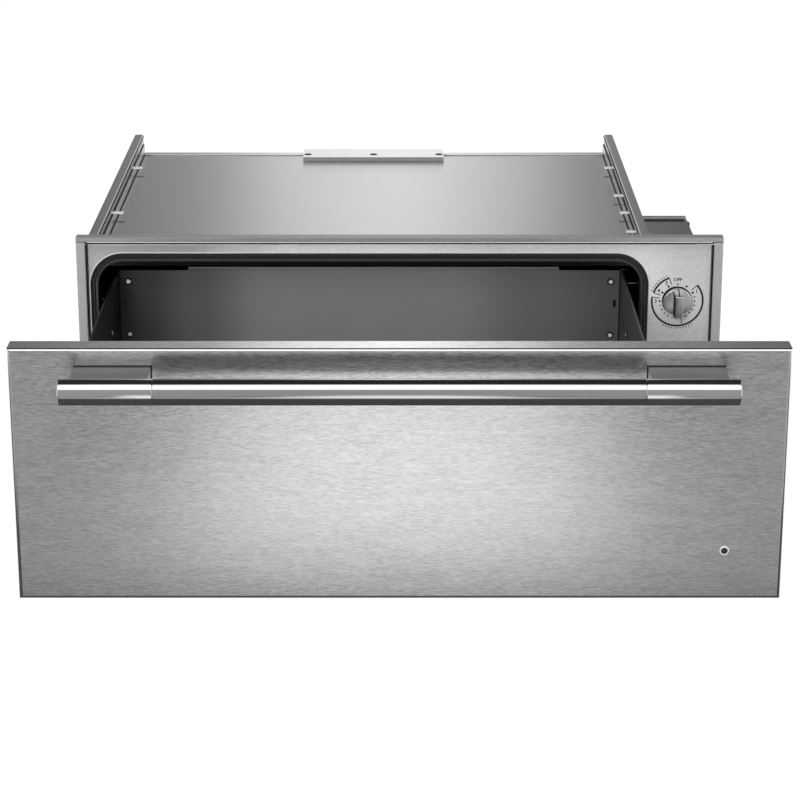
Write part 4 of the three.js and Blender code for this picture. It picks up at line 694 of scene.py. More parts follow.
# The faces outside the beads get painted shade.
second_finish(gasket, gasket_rubber_and_shade, lambda face: not BEADS_START < depth_in_mouth(face.center) < BEADS_END)
gasket_reach = max(depth_in_mouth(vertex.co) for vertex in gasket.data.vertices)
print("gasket reaches", round(1000 * gasket_reach, 1), "mm inwards")

# %% [markdown]
# ## The handle
# The bar is a turned tube with a plain middle and two end sleeves. A cylinder with many sides looks
# round at this size, where a lathe outline would need more work for the same shape. A bevel gives
# the chamfer at the free ends and the fine groove where a sleeve meets the middle.

# %% Handle bar and sleeves
JOINT_GROOVE, END_CHAMFER = 0.0003, 0.0012
bar_low, bar_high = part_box("handle_bar")
bar_axis = (bar_low + bar_high) / 2
bar_radius = (bar_high.z - bar_low.z) / 2


def cylinder(centre, radius, depth, sides, turn=(math.pi / 2, 0, 0)):
    """A cylinder at its place, along Y unless it is turned another way."""
    bpy.ops.object.select_all(action="DESELECT")
    bpy.ops.mesh.primitive_cylinder_add(
        vertices=sides, radius=radius, depth=depth, location=centre, rotation=turn
    )
    return settle(bpy.context.object)


def turned_rod(name, start, end, chamfer, material):
    """A rod along X with both end edges chamfered."""
    centre = ((start + end) / 2, bar_axis.y, bar_axis.z)
    rod = cylinder(centre, bar_radius, end - start, 96, (0, math.pi / 2, 0))
    round_edges(rod, chamfer, 3)
    smooth(rod)
    return fit(rod, name, "drawer", material)


joint_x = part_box("handle_sleeve_right")[0].x
middle = turned_rod("handle_middle", -joint_x, joint_x, JOINT_GROOVE, bar_steel)
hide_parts("handle_bar")
for side in ("left", "right"):
    low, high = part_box("handle_sleeve_" + side)
    sleeve = turned_rod("handle_end_" + side, low.x, high.x, END_CHAMFER, sleeve_steel)
    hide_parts("handle_sleeve_" + side)
print("handle bar", round(2 * bar_radius * 1000, 1), "mm thick")

# %% [markdown]
# ## The knob
# A turned disc carries a grip bar across it. The disc is a cylinder whose front edge is rounded
# over. The grip starts as a cube whose front face is scaled about its foot, so that the sides and
# the upper end slope, and then all its edges are rounded. A sculpted mesh would be no closer and
# harder to measure.

# %% Faces and cubes
def select_faces(piece, test):
    """Selects the faces whose centre and normal pass the test, in edit mode."""
    bpy.ops.object.mode_set(mode="OBJECT")
    select_nothing(piece)
    for face in piece.data.polygons:
        face.select = test(face)
    bpy.ops.object.mode_set(mode="EDIT")
    bpy.ops.mesh.select_mode(type="FACE")


def cube(centre, size, turn=(0, 0, 0)):
    """A block at its place."""
    bpy.ops.object.select_all(action="DESELECT")
    bpy.ops.mesh.primitive_cube_add(size=1, location=centre, rotation=turn, scale=size)
    return settle(bpy.context.object)


# %% Disc and grip
knob_low, knob_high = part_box("knob")
knob_x = (knob_low.x + knob_high.x) / 2
knob_z = (knob_low.z + knob_high.z) / 2
knob_radius = (knob_high.x - knob_low.x) / 2
DISC_DEPTH, DISC_ROUNDING = 0.0068, 0.0014
HUB_INSET, HUB_RISE = 0.006, 0.0006
GRIP_WIDTH, GRIP_BACK, GRIP_GAP = 0.0116, 0.006, 0.0004
GRIP_TAPER, GRIP_ROUNDING, GRIP_LIMIT = (0.76, 1, 0.81), 0.0009, 0.6
GRIP_SHIFT = 0.0004
grip_x = knob_x + GRIP_SHIFT


def knob_disc():
    """The round base of the knob, its front edge turned over in a soft curve."""
    back, front = knob_high.y, knob_high.y - DISC_DEPTH
    disc = cylinder((knob_x, (back + front) / 2, knob_z), knob_radius, back - front, 72)
    round_edges(disc, DISC_ROUNDING, 4)
    select_faces(disc, lambda face: face.normal.y < -0.9 and len(face.vertices) > 20)
    bpy.ops.mesh.inset(thickness=HUB_INSET)
    bpy.ops.transform.translate(value=(0, -HUB_RISE, 0))
    bpy.ops.object.mode_set(mode="OBJECT")
    return smooth(disc, 50)


def knob_grip():
    """The bar that the fingers turn, narrower at its front, with a sloping upper end."""
    front, back = knob_low.y, knob_high.y - GRIP_BACK
    height = 2 * knob_radius - GRIP_GAP
    grip = cube((grip_x, (front + back) / 2, knob_z), (GRIP_WIDTH, back - front, height))
    select_faces(grip, lambda face: face.normal.y < -0.9)
    foot = (grip_x, front, knob_z - height / 2)
    bpy.ops.transform.resize(value=GRIP_TAPER, center_override=foot)
    bpy.ops.object.mode_set(mode="OBJECT")
    round_edges(grip, GRIP_ROUNDING, 3, GRIP_LIMIT)
    return smooth(grip, 50)


disc, grip = knob_disc(), knob_grip()
select_only(disc)
grip.select_set(True)
bpy.ops.object.join()
knob = fit(disc, "knob_turned", "knob", knob_steel)
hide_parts("knob")
print("knob radius", round(knob_radius * 1000, 1), "mm")

# %% [markdown]
# ## Light and shade on the grip
# A polished grip mirrors a dark side and a bright side. This studio is too even to give both, so the
# left side gets a dark finish, the right side a bright one and the front a satin one. They turn with
# the knob, where real reflections would stay behind.

# %% Finishes of the grip
GRIP_START, GRIP_HALF = 0.0078, 0.0064


def on_grip(face):
    """True for a face of the grip that stands clear of the disc."""
    return face.center.y < knob_high.y - GRIP_START and abs(face.center.x - knob_x) < GRIP_HALF


second_finish(knob, light_and_shade_sheet, lambda face: on_grip(face) and face.normal.y < -0.8)
second_finish(knob, painted_shade_finish, lambda face: on_grip(face) and face.normal.x < -FACING)
second_finish(knob, painted_highlight, lambda face: on_grip(face) and face.normal.x > FACING)
print("grip faces:", sum(on_grip(face) for face in knob.data.polygons))

# %% [markdown]
# ## Washer and pointer
# A thin dark washer lies between the knob and the plate, a little to the upper left, where the line
# round the knob is darkest; its black is painted shadow of the knob. A groove runs down the sloping
# upper end of the grip and is the pointer. Cutting the groove out would need a boolean for a mark one
# millimetre wide, so a thin dark bar is laid on the slope as the groove's painted shade.

# %% Washer behind the knob
WASHER_DEPTH, WASHER_RIM = 0.0008, 0.0008
WASHER_LEFT, WASHER_UP = 0.0005, 0.0006
plate_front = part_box("face_plate")[0].y
washer_place = (knob_x - WASHER_LEFT, plate_front - WASHER_DEPTH / 2, knob_z + WASHER_UP)
# The washer's black is painted shadow round the knob.
washer = cylinder(washer_place, knob_radius + WASHER_RIM, WASHER_DEPTH, 72)
round_edges(washer, FINE_EDGE, 2)
fit(washer, "knob_washer_painted_shadow", "chassis", black_ink_and_shade)
print("plate front at", round(plate_front, 4))

# %% Pointer groove
SLOPE_START = 0.0102
GROOVE_WIDTH, GROOVE_DEPTH, GROOVE_SHARE = 0.0013, 0.0008, 0.92
slope_start = Vector((grip_x, knob_low.y, knob_z + SLOPE_START))
slope_end = Vector((grip_x, knob_high.y - GRIP_BACK, knob_z + knob_radius))
slope = slope_end - slope_start
slope_turn = (math.atan2(slope.z, slope.y), 0, 0)
groove_size = (GROOVE_WIDTH, slope.length * GROOVE_SHARE, GROOVE_DEPTH)
groove = cube((slope_start + slope_end) / 2, groove_size, slope_turn)
use_modifier(groove, "BEVEL", width=FINE_EDGE, segments=2)
# The bar's black is the groove's painted shade.
fit(groove, "knob_pointer", "knob", black_ink_and_shade)
print("pointer", round(groove_size[1] * 1000, 1), "mm long")

# %% [markdown]
# ## Painted shadow round the handle's feet
# A dark line round each foot, where it meets the front, is painted shadow. Like the other strips,
# seams and tabs of this lesson it is a flat block with rounded edges, because nothing more of it shows.

# %% Painted shadow round the feet
def small_block(name, centre, size, body, material, edge):
    """A little block at a place, with its edges rounded."""
    block = cube(centre, size)
    use_modifier(block, "BEVEL", width=edge, segments=2)
    return fit(block, name, body, material)


SHADOW_MARGIN = 0.0009
for side in ("left", "right"):
    low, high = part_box("handle_foot_" + side)
    place = ((low.x + high.x) / 2, front_plane - 0.0005, (low.z + high.z) / 2)
    size = (high.x - low.x + 2 * SHADOW_MARGIN, 0.0012, high.z - low.z + 2 * SHADOW_MARGIN)
    # A thin dark block round the foot: painted shadow.
    small_block("foot_painted_shadow_" + side, place, size, "drawer", gasket_rubber_and_shade, 0.0003)
print("foot shadow", round(size[0] * 1000, 1), "by", round(size[2] * 1000, 1), "mm")

# %% [markdown]
# ## The dial
# The scale is printed on the plate round the knob: dots, ticks, two arcs, plain numbers and OFF. A
# ribbon is spun from a short edge by the spin operator, so each arc is a true ring segment. It
# stands a few hundredths of a millimetre proud, as thick ink does. A picture of the scale would
# blur close by, so the print is a mesh.

# %% Dots and ticks
INK = 0.00006
INK_Y = plate_front - INK / 2
INK_SPREAD = 0.00012
MM = 0.001
dial_parts = []


def on_dial(radius, degrees):
    """A place on the plate, so many millimetres from the knob, clockwise from the top."""
    turn = math.radians(degrees)
    return (knob_x + radius * MM * math.sin(turn), INK_Y, knob_z + radius * MM * math.cos(turn))


def ink_bar(radius, degrees, width, height):
    """A printed tick whose height lies along the radius."""
    size = (width * MM, INK, height * MM)
    dial_parts.append(cube(on_dial(radius, degrees), size, (0, math.radians(degrees), 0)))


def ink_dot(radius, degrees, size):
    """A printed dot."""
    dial_parts.append(cylinder(on_dial(radius, degrees), size * MM, INK, 24))


# %% Arcs and figures
def ink_arc(radius, width, start, end):
    """A printed ring segment: a small upright plane spun round the knob's axis."""
    bpy.ops.object.select_all(action="DESELECT")
    upright = (0, math.radians(90 + start), 0)
    bpy.ops.mesh.primitive_plane_add(size=1, location=on_dial(radius, start), rotation=upright)
    arc = bpy.context.object
    arc.scale = (width * MM, INK, 1)
    settle(arc)
    bpy.ops.object.mode_set(mode="EDIT")
    bpy.ops.mesh.select_all(action="SELECT")
    bpy.ops.mesh.spin(
        steps=max(2, round((end - start) / 5)),
        angle=math.radians(end - start),
        center=(knob_x, INK_Y, knob_z),
        axis=(0, -1, 0),
    )
    bpy.ops.mesh.select_all(action="SELECT")
    bpy.ops.mesh.remove_doubles(threshold=0.000005)
    bpy.ops.mesh.normals_make_consistent(inside=False)
    bpy.ops.object.mode_set(mode="OBJECT")
    dial_parts.append(arc)


def ink_text(figures, radius, degrees, height):
    """Upright printed figures centred on a place, made a mesh before they are placed."""
    bpy.ops.object.select_all(action="DESELECT")
    bpy.ops.object.text_add(location=on_dial(radius, degrees), rotation=(math.pi / 2, 0, 0))
    text = bpy.context.object
    text.data.body = figures
    text.data.size = height * MM
    text.data.align_x = "CENTER"
    text.data.align_y = "CENTER"
    text.data.extrude = INK / 2
    text.data.offset = INK_SPREAD
    bpy.ops.object.convert(target="MESH")
    dial_parts.append(settle(bpy.context.object))


# %% Dial marks
DOT_RADIUS, ARC_RADIUS, LABEL_RADIUS = 20.3, 29.4, 25.0
TICK_RADIUS = ARC_RADIUS + 2.9
for angle in range(75, 270, 15):
    ink_dot(DOT_RADIUS, angle, 0.95)
for angle in (30, 60, 270, 300, 329):
    ink_dot(DOT_RADIUS, angle, 1.3)
ink_dot(DOT_RADIUS, 0, 1.1)
for start, end in ((50, 280), (290, 340)):
    ink_arc(ARC_RADIUS, 2.2, start, end)
    for angle in (start, end):
        ink_bar((ARC_RADIUS + DOT_RADIUS + 1) / 2, angle, 1.0, ARC_RADIUS - DOT_RADIUS)
for figure, angle in (("1", 62), ("2", 167), ("3", 270), ("4", 300), ("5", 329)):
    ink_text(figure, LABEL_RADIUS, angle, 6.2)
ink_text("OFF", LABEL_RADIUS + 0.6, 0, 5.6)
for angle in (*range(294, 340, 6), *range(148, 209, 6)):
    ink_bar(TICK_RADIUS, angle, 0.9, 2.2)
select_only(dial_parts[0])
for part in dial_parts[1:]:
    part.select_set(True)
bpy.ops.object.join()
fit(bpy.context.object, "dial_print", "chassis", black_ink_and_shade)
print("dial marks:", len(dial_parts))

# %% [markdown]
# ## Screws
# Truss-head screws hold the thin sheets. A truss head is a flat cap cut from a ball, so a sphere is
# cut by the bisect operator, and a cross of two blocks is taken out of its top. One screw is
# modelled, then copied to each place and turned the way its sheet faces. On the real heads the rim
# looks darker than the middle. Heads this small render too evenly for that, so each head gets a
# near-white finish as painted highlight and its rim a dark one as painted shade.


# %% Model one screw
def cap_of_ball(head_radius, head_height):
    """The top of a sphere, closed by a flat underside at height zero."""
    ball = (head_radius**2 + head_height**2) / (2 * head_height)
    bpy.ops.object.select_all(action="DESELECT")
    bpy.ops.mesh.primitive_uv_sphere_add(
        segments=24, ring_count=24, radius=ball, location=(0, 0, head_height - ball)
    )
    cap = settle(bpy.context.object)
    bpy.ops.object.mode_set(mode="EDIT")
    bpy.ops.mesh.select_all(action="SELECT")
    bpy.ops.mesh.bisect(plane_co=(0, 0, 0), plane_no=(0, 0, 1), clear_inner=True, use_fill=True)
    bpy.ops.object.mode_set(mode="OBJECT")
    return cap


def take_out(piece, centre, size):
    """Cuts a block out of a piece."""
    block = cube(centre, size)
    use_modifier(piece, "BOOLEAN", operation="DIFFERENCE", object=block, solver="EXACT")
    bpy.data.objects.remove(block)


HEAD_RADIUS, HEAD_HEIGHT = 0.0044, 0.0022
CROSS_WIDTH, CROSS_LENGTH, CROSS_DEPTH = 0.0012, 0.0048, 0.0024
screw_model = cap_of_ball(HEAD_RADIUS, HEAD_HEIGHT)
take_out(screw_model, (0, 0, HEAD_HEIGHT), (CROSS_WIDTH, CROSS_LENGTH, CROSS_DEPTH))
take_out(screw_model, (0, 0, HEAD_HEIGHT), (CROSS_LENGTH, CROSS_WIDTH, CROSS_DEPTH))
smooth(screw_model, 40)
print("screw faces:", len(screw_model.data.polygons))

# %% Copy the screw
RIM_START = 0.0024


def screw_row(prefix, body, direction, places, size=1.0):
    """Copies of the screw, their heads facing one direction, near white as painted highlight, with a rim
    of painted shade.
    """
    along = Vector(direction)
    for number, place in enumerate(places, 1):
        screw = screw_model.copy()
        screw.data = screw_model.data.copy()
        bpy.context.scene.collection.objects.link(screw)
        screw.location = place
        screw.rotation_euler = along.to_track_quat("Z", "Y").to_euler()
        screw.scale = (size, size, size)
        fit(screw, f"{prefix}_{number}", body, painted_highlight)
        middle = Vector(place)

        def on_rim(face):
            """True for a face that lies far from the screw's axis."""
            offset = face.center - middle
            return (offset - along * offset.dot(along)).length > RIM_START * size

        # The rim gets painted shade; the rest of the head keeps the near-white painted highlight.
        second_finish(screw, painted_shade_finish, on_rim)


# %% Screws in the drawer box
WALL_SETBACK = 0.018
box_low, box_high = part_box("drawer_back")
left_side_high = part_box("drawer_side_left")[1]
right_side_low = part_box("drawer_side_right")[0]
back_face = box_low.y
left_wall = left_side_high.x - WALL_SETBACK
right_wall = right_side_low.x + WALL_SETBACK
back_places = [(-0.3191, 0.1643), (-0.3194, 0.0997), (0.2487, 0.1638), (0.2492, 0.0982)]
screw_row("drawer_back_screw", "drawer", (0, -1, 0), [(x, back_face, z) for x, z in back_places])
screw_row("drawer_left_screw", "drawer", (1, 0, 0), [(left_wall, -0.037, 0.130)])
screw_row("drawer_right_screw", "drawer", (-1, 0, 0), [(right_wall, -0.047, 0.131)])
print("inner walls of the drawer box at", round(left_wall, 4), round(right_wall, 4))
print("back face of the drawer box at", round(back_face, 4))

# %% Screws in the chassis
PANEL_SCREW_Z = 0.095
depths = (0.06, 0.27, 0.48)
left_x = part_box("side_panel_left")[0].x
right_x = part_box("side_panel_right")[1].x
screw_row("left_panel_screw", "chassis", (-1, 0, 0), [(left_x, y, PANEL_SCREW_Z) for y in depths])
screw_row("right_panel_screw", "chassis", (1, 0, 0), [(right_x, y, PANEL_SCREW_Z) for y in depths[1:]])
rear_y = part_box("rear_panel")[1].y
rear_places = [(x, rear_y, z) for x in (-0.335, -0.19, 0.115, 0.265) for z in (0.02, 0.185)]
screw_row("rear_panel_screw", "chassis", (0, 1, 0), rear_places)
cover_low, cover_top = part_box("control_cover")
screw_row("control_cover_screw", "chassis", (0, 0, 1), [(0.338, 0.020, cover_top.z)], 0.85)
print("chassis sides at", round(left_x, 4), round(right_x, 4), "and rear at", round(rear_y, 4))

# %% Screws in the inner panel
SHEET, PANEL_MARGIN_X, PANEL_MARGIN_Z = 0.0012, 0.10, 0.0055
inner_low, inner_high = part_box("front_inner_panel")
panel_places = [
    (x, inner_low.y + SHEET, z)
    for x in (inner_low.x + PANEL_MARGIN_X, 0.0, inner_high.x - PANEL_MARGIN_X)
    for z in (inner_low.z + PANEL_MARGIN_Z, inner_high.z - PANEL_MARGIN_Z)
]
screw_row("inner_panel_screw", "drawer", (0, 1, 0), panel_places, 0.8)
print("inner panel", tuple(round(c, 3) for c in inner_low), tuple(round(c, 3) for c in inner_high))

# %% [markdown]
# ## Pressed slots
# Slots near the corners of the drawer's back let its folded sides hook in, and each side wall has a
# slot too. Only their dark mouths show, so each is a thin dark plate laid on the sheet as the slot's
# painted shade, and no hole has to be cut in a piece of the frame.


# %% Slots in the drawer's back
def dark_slot(name, centre, width, height):
    """A dark stadium on a sheet that faces the front."""
    slot_piece = cube(centre, (width, 0.0004, height))
    use_modifier(
        slot_piece, "BEVEL", width=width * 0.48, segments=5, limit_method="NONE", affect="EDGES"
    )
    return fit(slot_piece, name, "drawer", painted_shade_finish)


BACK_SLOTS = [("left", -0.3240, 0.1365, 0.0022, 0.0050), ("right", 0.2535, 0.1370, 0.0036, 0.0085)]
for side, x, z, width, height in BACK_SLOTS:
    # Each dark plate is the slot's painted shade.
    dark_slot("drawer_back_slot_" + side, (x, back_face - 0.0001, z), width, height)
print("slots in the drawer's back:", len(BACK_SLOTS))

# %% Slots in the side walls
for side, x, y, z in (("left", left_wall, 0.020, 0.1215), ("right", right_wall, 0.006, 0.1260)):
    inward = 0.0002 if side == "left" else -0.0002
    place, size = (x + inward, y, z), (0.0004, 0.0060, 0.0080)
    name = "drawer_wall_slot_" + side
    # Each dark block is the slot's painted shade.
    small_block(name, place, size, "drawer", painted_shade_finish, 0.00015)
    print(name, "at", tuple(round(c, 4) for c in place))

# %% [markdown]
# ## Strips in the grooves
# A near-black strip in the groove between the plate and the trim frame is painted shade, and a grey
# strip along its edge is a painted reflection. The strips are straight, so each is a small block.

# %% Painted shade and reflection in the grooves
plate_low, plate_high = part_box("face_plate")
middle_z = (plate_low.z + plate_high.z) / 2
length = plate_high.z - plate_low.z - 0.001
for side, sign in (("left", -1), ("right", 1)):
    place = (sign * (plate_high.x + 0.00175), plate_front + 0.0010, middle_z)
    size = (0.0031, 0.0014, length)
    # A near-black strip: painted shade in the groove.
    small_block("groove_painted_shade_" + side, place, size, "chassis", gasket_rubber_and_shade, 0.0003)
    place = (sign * (plate_high.x + 0.0010), plate_front + 0.0001, middle_z)
    size = (0.0007, 0.0006, length)
    small_block("groove_painted_reflection_" + side, place, size, "chassis", grey_groove_reflection, 0.0002)
place = (0, plate_front + 0.00042, plate_high.z + 0.0031)
size = (2 * plate_high.x + 0.0066, 0.0006, 0.0056)
small_block("groove_painted_shade_top", place, size, "chassis", gasket_rubber_and_shade, 0.0002)
print("shade strips beside the plate", round(length * 1000, 1), "mm long")

# %% [markdown]
# ## Corners and top edge of the drawer box
# Where the sides of the box meet its back, a deep joint stays dark in shade, and the top edge of the
# back catches the light. The joints of the model are too tight to look so dark, so they get dark
# strips as painted shade, and the edge gets a bright one as painted highlight.

# %% Painted shade in the corners
for side, x, inward in (("left", left_wall, 1), ("right", right_wall, -1)):
    place = (x + inward * 0.0006, back_face - 0.0005, (box_low.z + left_side_high.z) / 2)
    size = (0.0013, 0.0012, left_side_high.z - box_low.z - 0.001)
    small_block("drawer_corner_painted_shade_" + side, place, size, "drawer", painted_shade_finish, 0.0003)
print("corner joints", round(size[2] * 1000, 1), "mm high")

# %% Painted highlight on the top edge
raised = [v.co.x for v in nodes["drawer_back"].data.vertices if v.co.z > box_high.z - 0.0005]
place = ((min(raised) + max(raised)) / 2, back_face - 0.0001, box_high.z - 0.0007)
size = (max(raised) - min(raised) - 0.001, 0.0004, 0.0012)
small_block("drawer_back_edge_highlight", place, size, "drawer", box_edge_highlight, 0.0001)
print("raised edge", round(size[0] * 1000, 1), "mm wide")

# %% [markdown]
# ## Highlights on the edges of the plate and of the trim frame
# The plate shows a light line along its top and round its mouth, and the top bar one along its lower
# edge: bright strips laid there as painted highlight, where the edges catch the light. Two fine dark
# joints part the top bar from the side bars. Straight lines are small blocks. The line round the
# mouth is a plane with rounded corners, inset to a ring and raised.

# %% Straight highlights and joints
bar_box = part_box("rim_top_bar")
bar_front, bar_top, bar_end = bar_box[0].y, bar_box[1].z, bar_box[1].x
rim_inner = plate_high.x + 0.002
run_x = 2 * plate_high.x - 0.0012
place, size = (0, plate_front + 0.0001, plate_high.z - 0.0005), (run_x, 0.0006, 0.0010)
small_block("plate_top_edge_highlight", place, size, "chassis", painted_highlight, 0.0002)
place, size = (0, bar_front + 0.0001, bar_top - 0.0055), (run_x, 0.0006, 0.0008)
small_block("top_bar_lower_edge_highlight", place, size, "chassis", painted_highlight, 0.0002)
for side, sign in (("left", -1), ("right", 1)):
    place = (sign * (bar_end + rim_inner) / 2, bar_front - 0.00005, bar_top - 0.0052)
    size = (bar_end - rim_inner - 0.0006, 0.0003, 0.0008)
    small_block("bar_joint_" + side, place, size, "chassis", black_ink_and_shade, 0.0001)
print("edge highlights", round(run_x * 1000, 1), "mm long")

# %% Highlight round the mouth
RING_GAP, RING_WIDTH, RING_PROUD = 0.0004, 0.0012, 0.0002
ring_reach = 0.0003 + RING_GAP + RING_WIDTH
bpy.ops.object.select_all(action="DESELECT")
bpy.ops.mesh.primitive_plane_add(
    size=1,
    location=((mouth_low.x + mouth_high.x) / 2, plate_front, (mouth_low.z + mouth_high.z) / 2),
    rotation=(math.pi / 2, 0, 0),
)
ring = bpy.context.object
ring.scale = (mouth_high.x - mouth_low.x + 2 * ring_reach, mouth_high.z - mouth_low.z + 2 * ring_reach, 1)
settle(ring)
bpy.ops.object.mode_set(mode="EDIT")
bpy.ops.mesh.select_all(action="SELECT")
bpy.ops.mesh.bevel(offset=MOUTH_RADIUS + RING_GAP + RING_WIDTH, segments=16, affect="VERTICES")
bpy.ops.mesh.select_all(action="SELECT")
bpy.ops.mesh.inset(thickness=RING_WIDTH)
bpy.ops.mesh.delete(type="FACE")
bpy.ops.mesh.select_all(action="SELECT")
bpy.ops.mesh.extrude_region_move(TRANSFORM_OT_translate={"value": (0, -RING_PROUD, 0)})
bpy.ops.mesh.select_all(action="SELECT")
bpy.ops.mesh.normals_make_consistent(inside=False)
bpy.ops.object.mode_set(mode="OBJECT")
fit(ring, "plate_mouth_edge_highlight", "chassis", painted_highlight)
print("ring round the mouth:", len(ring.data.polygons), "faces")

# %% [markdown]
# ## Seams and tabs of the chassis top
# The side panels are folded over at their tops, and the top panel is hung between them. Dark lines
# run along its seams and folds, partly joints and partly painted shade, and the folded edge gets a
# bright line as painted highlight. Tabs lanced out of the walls hold the top panel, each with a slot
# beside it; the tabs are near white as painted highlight. All are straight and flat, so they are
# small blocks.

# %% Painted highlight, joints and shade along the chassis top
panel_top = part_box("side_panel_left")[1].z
panel_low, panel_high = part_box("top_panel")
run = panel_high.y - panel_low.y - 0.004
along_y = (panel_low.y + panel_high.y) / 2
sheet_top = panel_low.z + SHEET
JOINT_AND_SHADE_LINES = ((0.0001, panel_top - 0.0022), (0.0006, panel_high.z + 0.0004), (0.0018, sheet_top + 0.0006))
for side, x, inward in (("left", panel_low.x, 1), ("right", panel_high.x, -1)):
    place, size = (x - inward * 0.0009, along_y, panel_top - 0.0002), (0.0010, run, 0.0005)
    small_block("folded_top_edge_highlight_" + side, place, size, "chassis", painted_highlight, 0.0002)
    for number, (offset, z) in enumerate(JOINT_AND_SHADE_LINES, 1):
        place, size = (x + inward * offset, along_y, z), (0.0012, run, 0.0013)
        small_block(f"wall_joint_and_shade_{side}_{number}", place, size, "chassis", gasket_rubber_and_shade, 0.0003)
print("seams", round(run * 1000, 1), "mm long")

# %% Tabs on the side walls
TAB_STEP, TAB_WIDTH = 0.031, 0.0068
tab_z = panel_top - 0.0065 - 0.0006
for side, x, inward, reach, places in (
    ("left", panel_low.x, 1, 0.015, (0.162, 0.400)),
    ("right", panel_high.x, -1, 0.012, (0.071, 0.162, 0.249, 0.400)),
):
    for number, y in enumerate(places, 1):
        name, place = f"wall_tab_{side}_{number}", (x + inward * reach / 2, y, tab_z)
        size = (reach, TAB_WIDTH, 0.0018)
        # The tab is near white: painted highlight.
        small_block(name, place, size, "chassis", painted_highlight, 0.0004)
        name = f"wall_tab_slot_{side}_{number}"
        place = (x + inward * (reach / 2 - 0.001), y + TAB_STEP, sheet_top + 0.0001)
        size = (reach - 0.003, 0.0050, 0.0004)
        small_block(name, place, size, "chassis", dull_edge, 0.0001)
    print(side, "tabs:", len(places))

# %% [markdown]
# ## The holes of the rear bracket
# Seen from above, a hole in a bright sheet looks black. The bracket of the frame has its three holes
# open, and a thin dark disc, slightly wider than the hole, lies over each one as painted shade.

# %% Dark discs over the bracket's holes
HOLE_RADIUS, HOLE_MARGIN, HOLE_SETBACK = 0.0046, 0.0015, 0.017
LID_RADIUS, LID_DEPTH = 0.0050, 0.0005
bracket_low, bracket_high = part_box("rear_bracket")
bracket_x = (bracket_low.x + bracket_high.x) / 2
hole_step = (bracket_high.x - bracket_low.x) / 2 - HOLE_RADIUS - HOLE_MARGIN
for number, x in enumerate((bracket_x - hole_step, bracket_x, bracket_x + hole_step), 1):
    place = (x, bracket_low.y + HOLE_SETBACK, bracket_high.z)
    lid = cylinder(place, LID_RADIUS, LID_DEPTH, 40, (0, 0, 0))
    round_edges(lid, 0.0001, 1)
    fit(lid, f"bracket_hole_painted_shade_{number}", "chassis", painted_shade_finish)
print("bracket holes", round(hole_step * 1000, 1), "mm apart")

# %% [markdown]
# ## The control box and the cavity walls
# Near the rear end of the control box's cover a joint lies in deep shadow, laid as a dark block of
# painted shadow, with the lip behind it as a pale strip of painted highlight, and a black clip sits at
# the side of the box. Small fasteners and two tabs show on the walls of the cavity. They are marks of
# a few millimetres, so blocks and small copies of the screw stand for them.

# %% Joint, lip and clip of the control box
box_x = (cover_low.x + cover_top.x) / 2
cover_width = cover_top.x - cover_low.x
place = (box_x - 0.001, cover_top.y - 0.0138, cover_top.z + 0.0003)
size = (cover_width - 0.005, 0.0100, 0.0008)
small_block("control_joint_shadow", place, size, "chassis", gasket_rubber_and_shade, 0.0003)
place = (box_x, cover_top.y - 0.0043, cover_top.z + 0.0003)
size = (cover_width - 0.001, 0.0078, 0.0008)
small_block("control_lip_highlight", place, size, "chassis", light_and_shade_sheet, 0.0003)
place, size = (cover_top.x + 0.0010, 0.134, cover_top.z - 0.0030), (0.0024, 0.010, 0.0040)
small_block("control_box_clip", place, size, "chassis", black_plastic, 0.0004)
print("control box", round(cover_width * 1000, 1), "mm wide")

# %% Fasteners and tabs in the cavity
wall_low, wall_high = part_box("liner_back")
cavity_left, cavity_right = wall_low.x + 0.001, wall_high.x - 0.001
left_places = [(cavity_left, 0.106, 0.149), (cavity_left, 0.027, 0.152)]
screw_row("cavity_left_screw", "chassis", (1, 0, 0), left_places, 0.6)
screw_row("cavity_right_screw", "chassis", (-1, 0, 0), [(cavity_right, 0.053, 0.1434)], 0.6)
for number, (y, z) in enumerate(((0.035, 0.169), (0.139, 0.157)), 1):
    place, size = (cavity_right - 0.0050, y, z), (0.0100, 0.0014, 0.0012)
    small_block(f"cavity_tab_{number}", place, size, "chassis", zinc, 0.0003)
bpy.data.objects.remove(screw_model)
print("cavity walls at", round(cavity_left, 4), round(cavity_right, 4))

# %% [markdown]
# ## Floor, backdrop and light
# The object stands in a white studio. Metal shows what surrounds it, so most of the look comes from
# large cards: a soft light above the handle, and cards that only reflections see, each with a
# gradient, so that the brushed front grows lighter towards its lower middle. Lamps alone would
# leave flat steel either black or burnt out.


# %% Floor
def flagged_white(tree):
    """One for rays from the camera, a reflection or a pane of glass, else nothing."""
    path = tree.nodes.new("ShaderNodeLightPath")
    first, second = math_node(tree, "MAXIMUM"), math_node(tree, "MAXIMUM")
    tree.links.new(path.outputs["Is Camera Ray"], first.inputs[0])
    tree.links.new(path.outputs["Is Glossy Ray"], first.inputs[1])
    tree.links.new(first.outputs["Value"], second.inputs[0])
    tree.links.new(path.outputs["Is Transmission Ray"], second.inputs[1])
    return second.outputs["Value"]


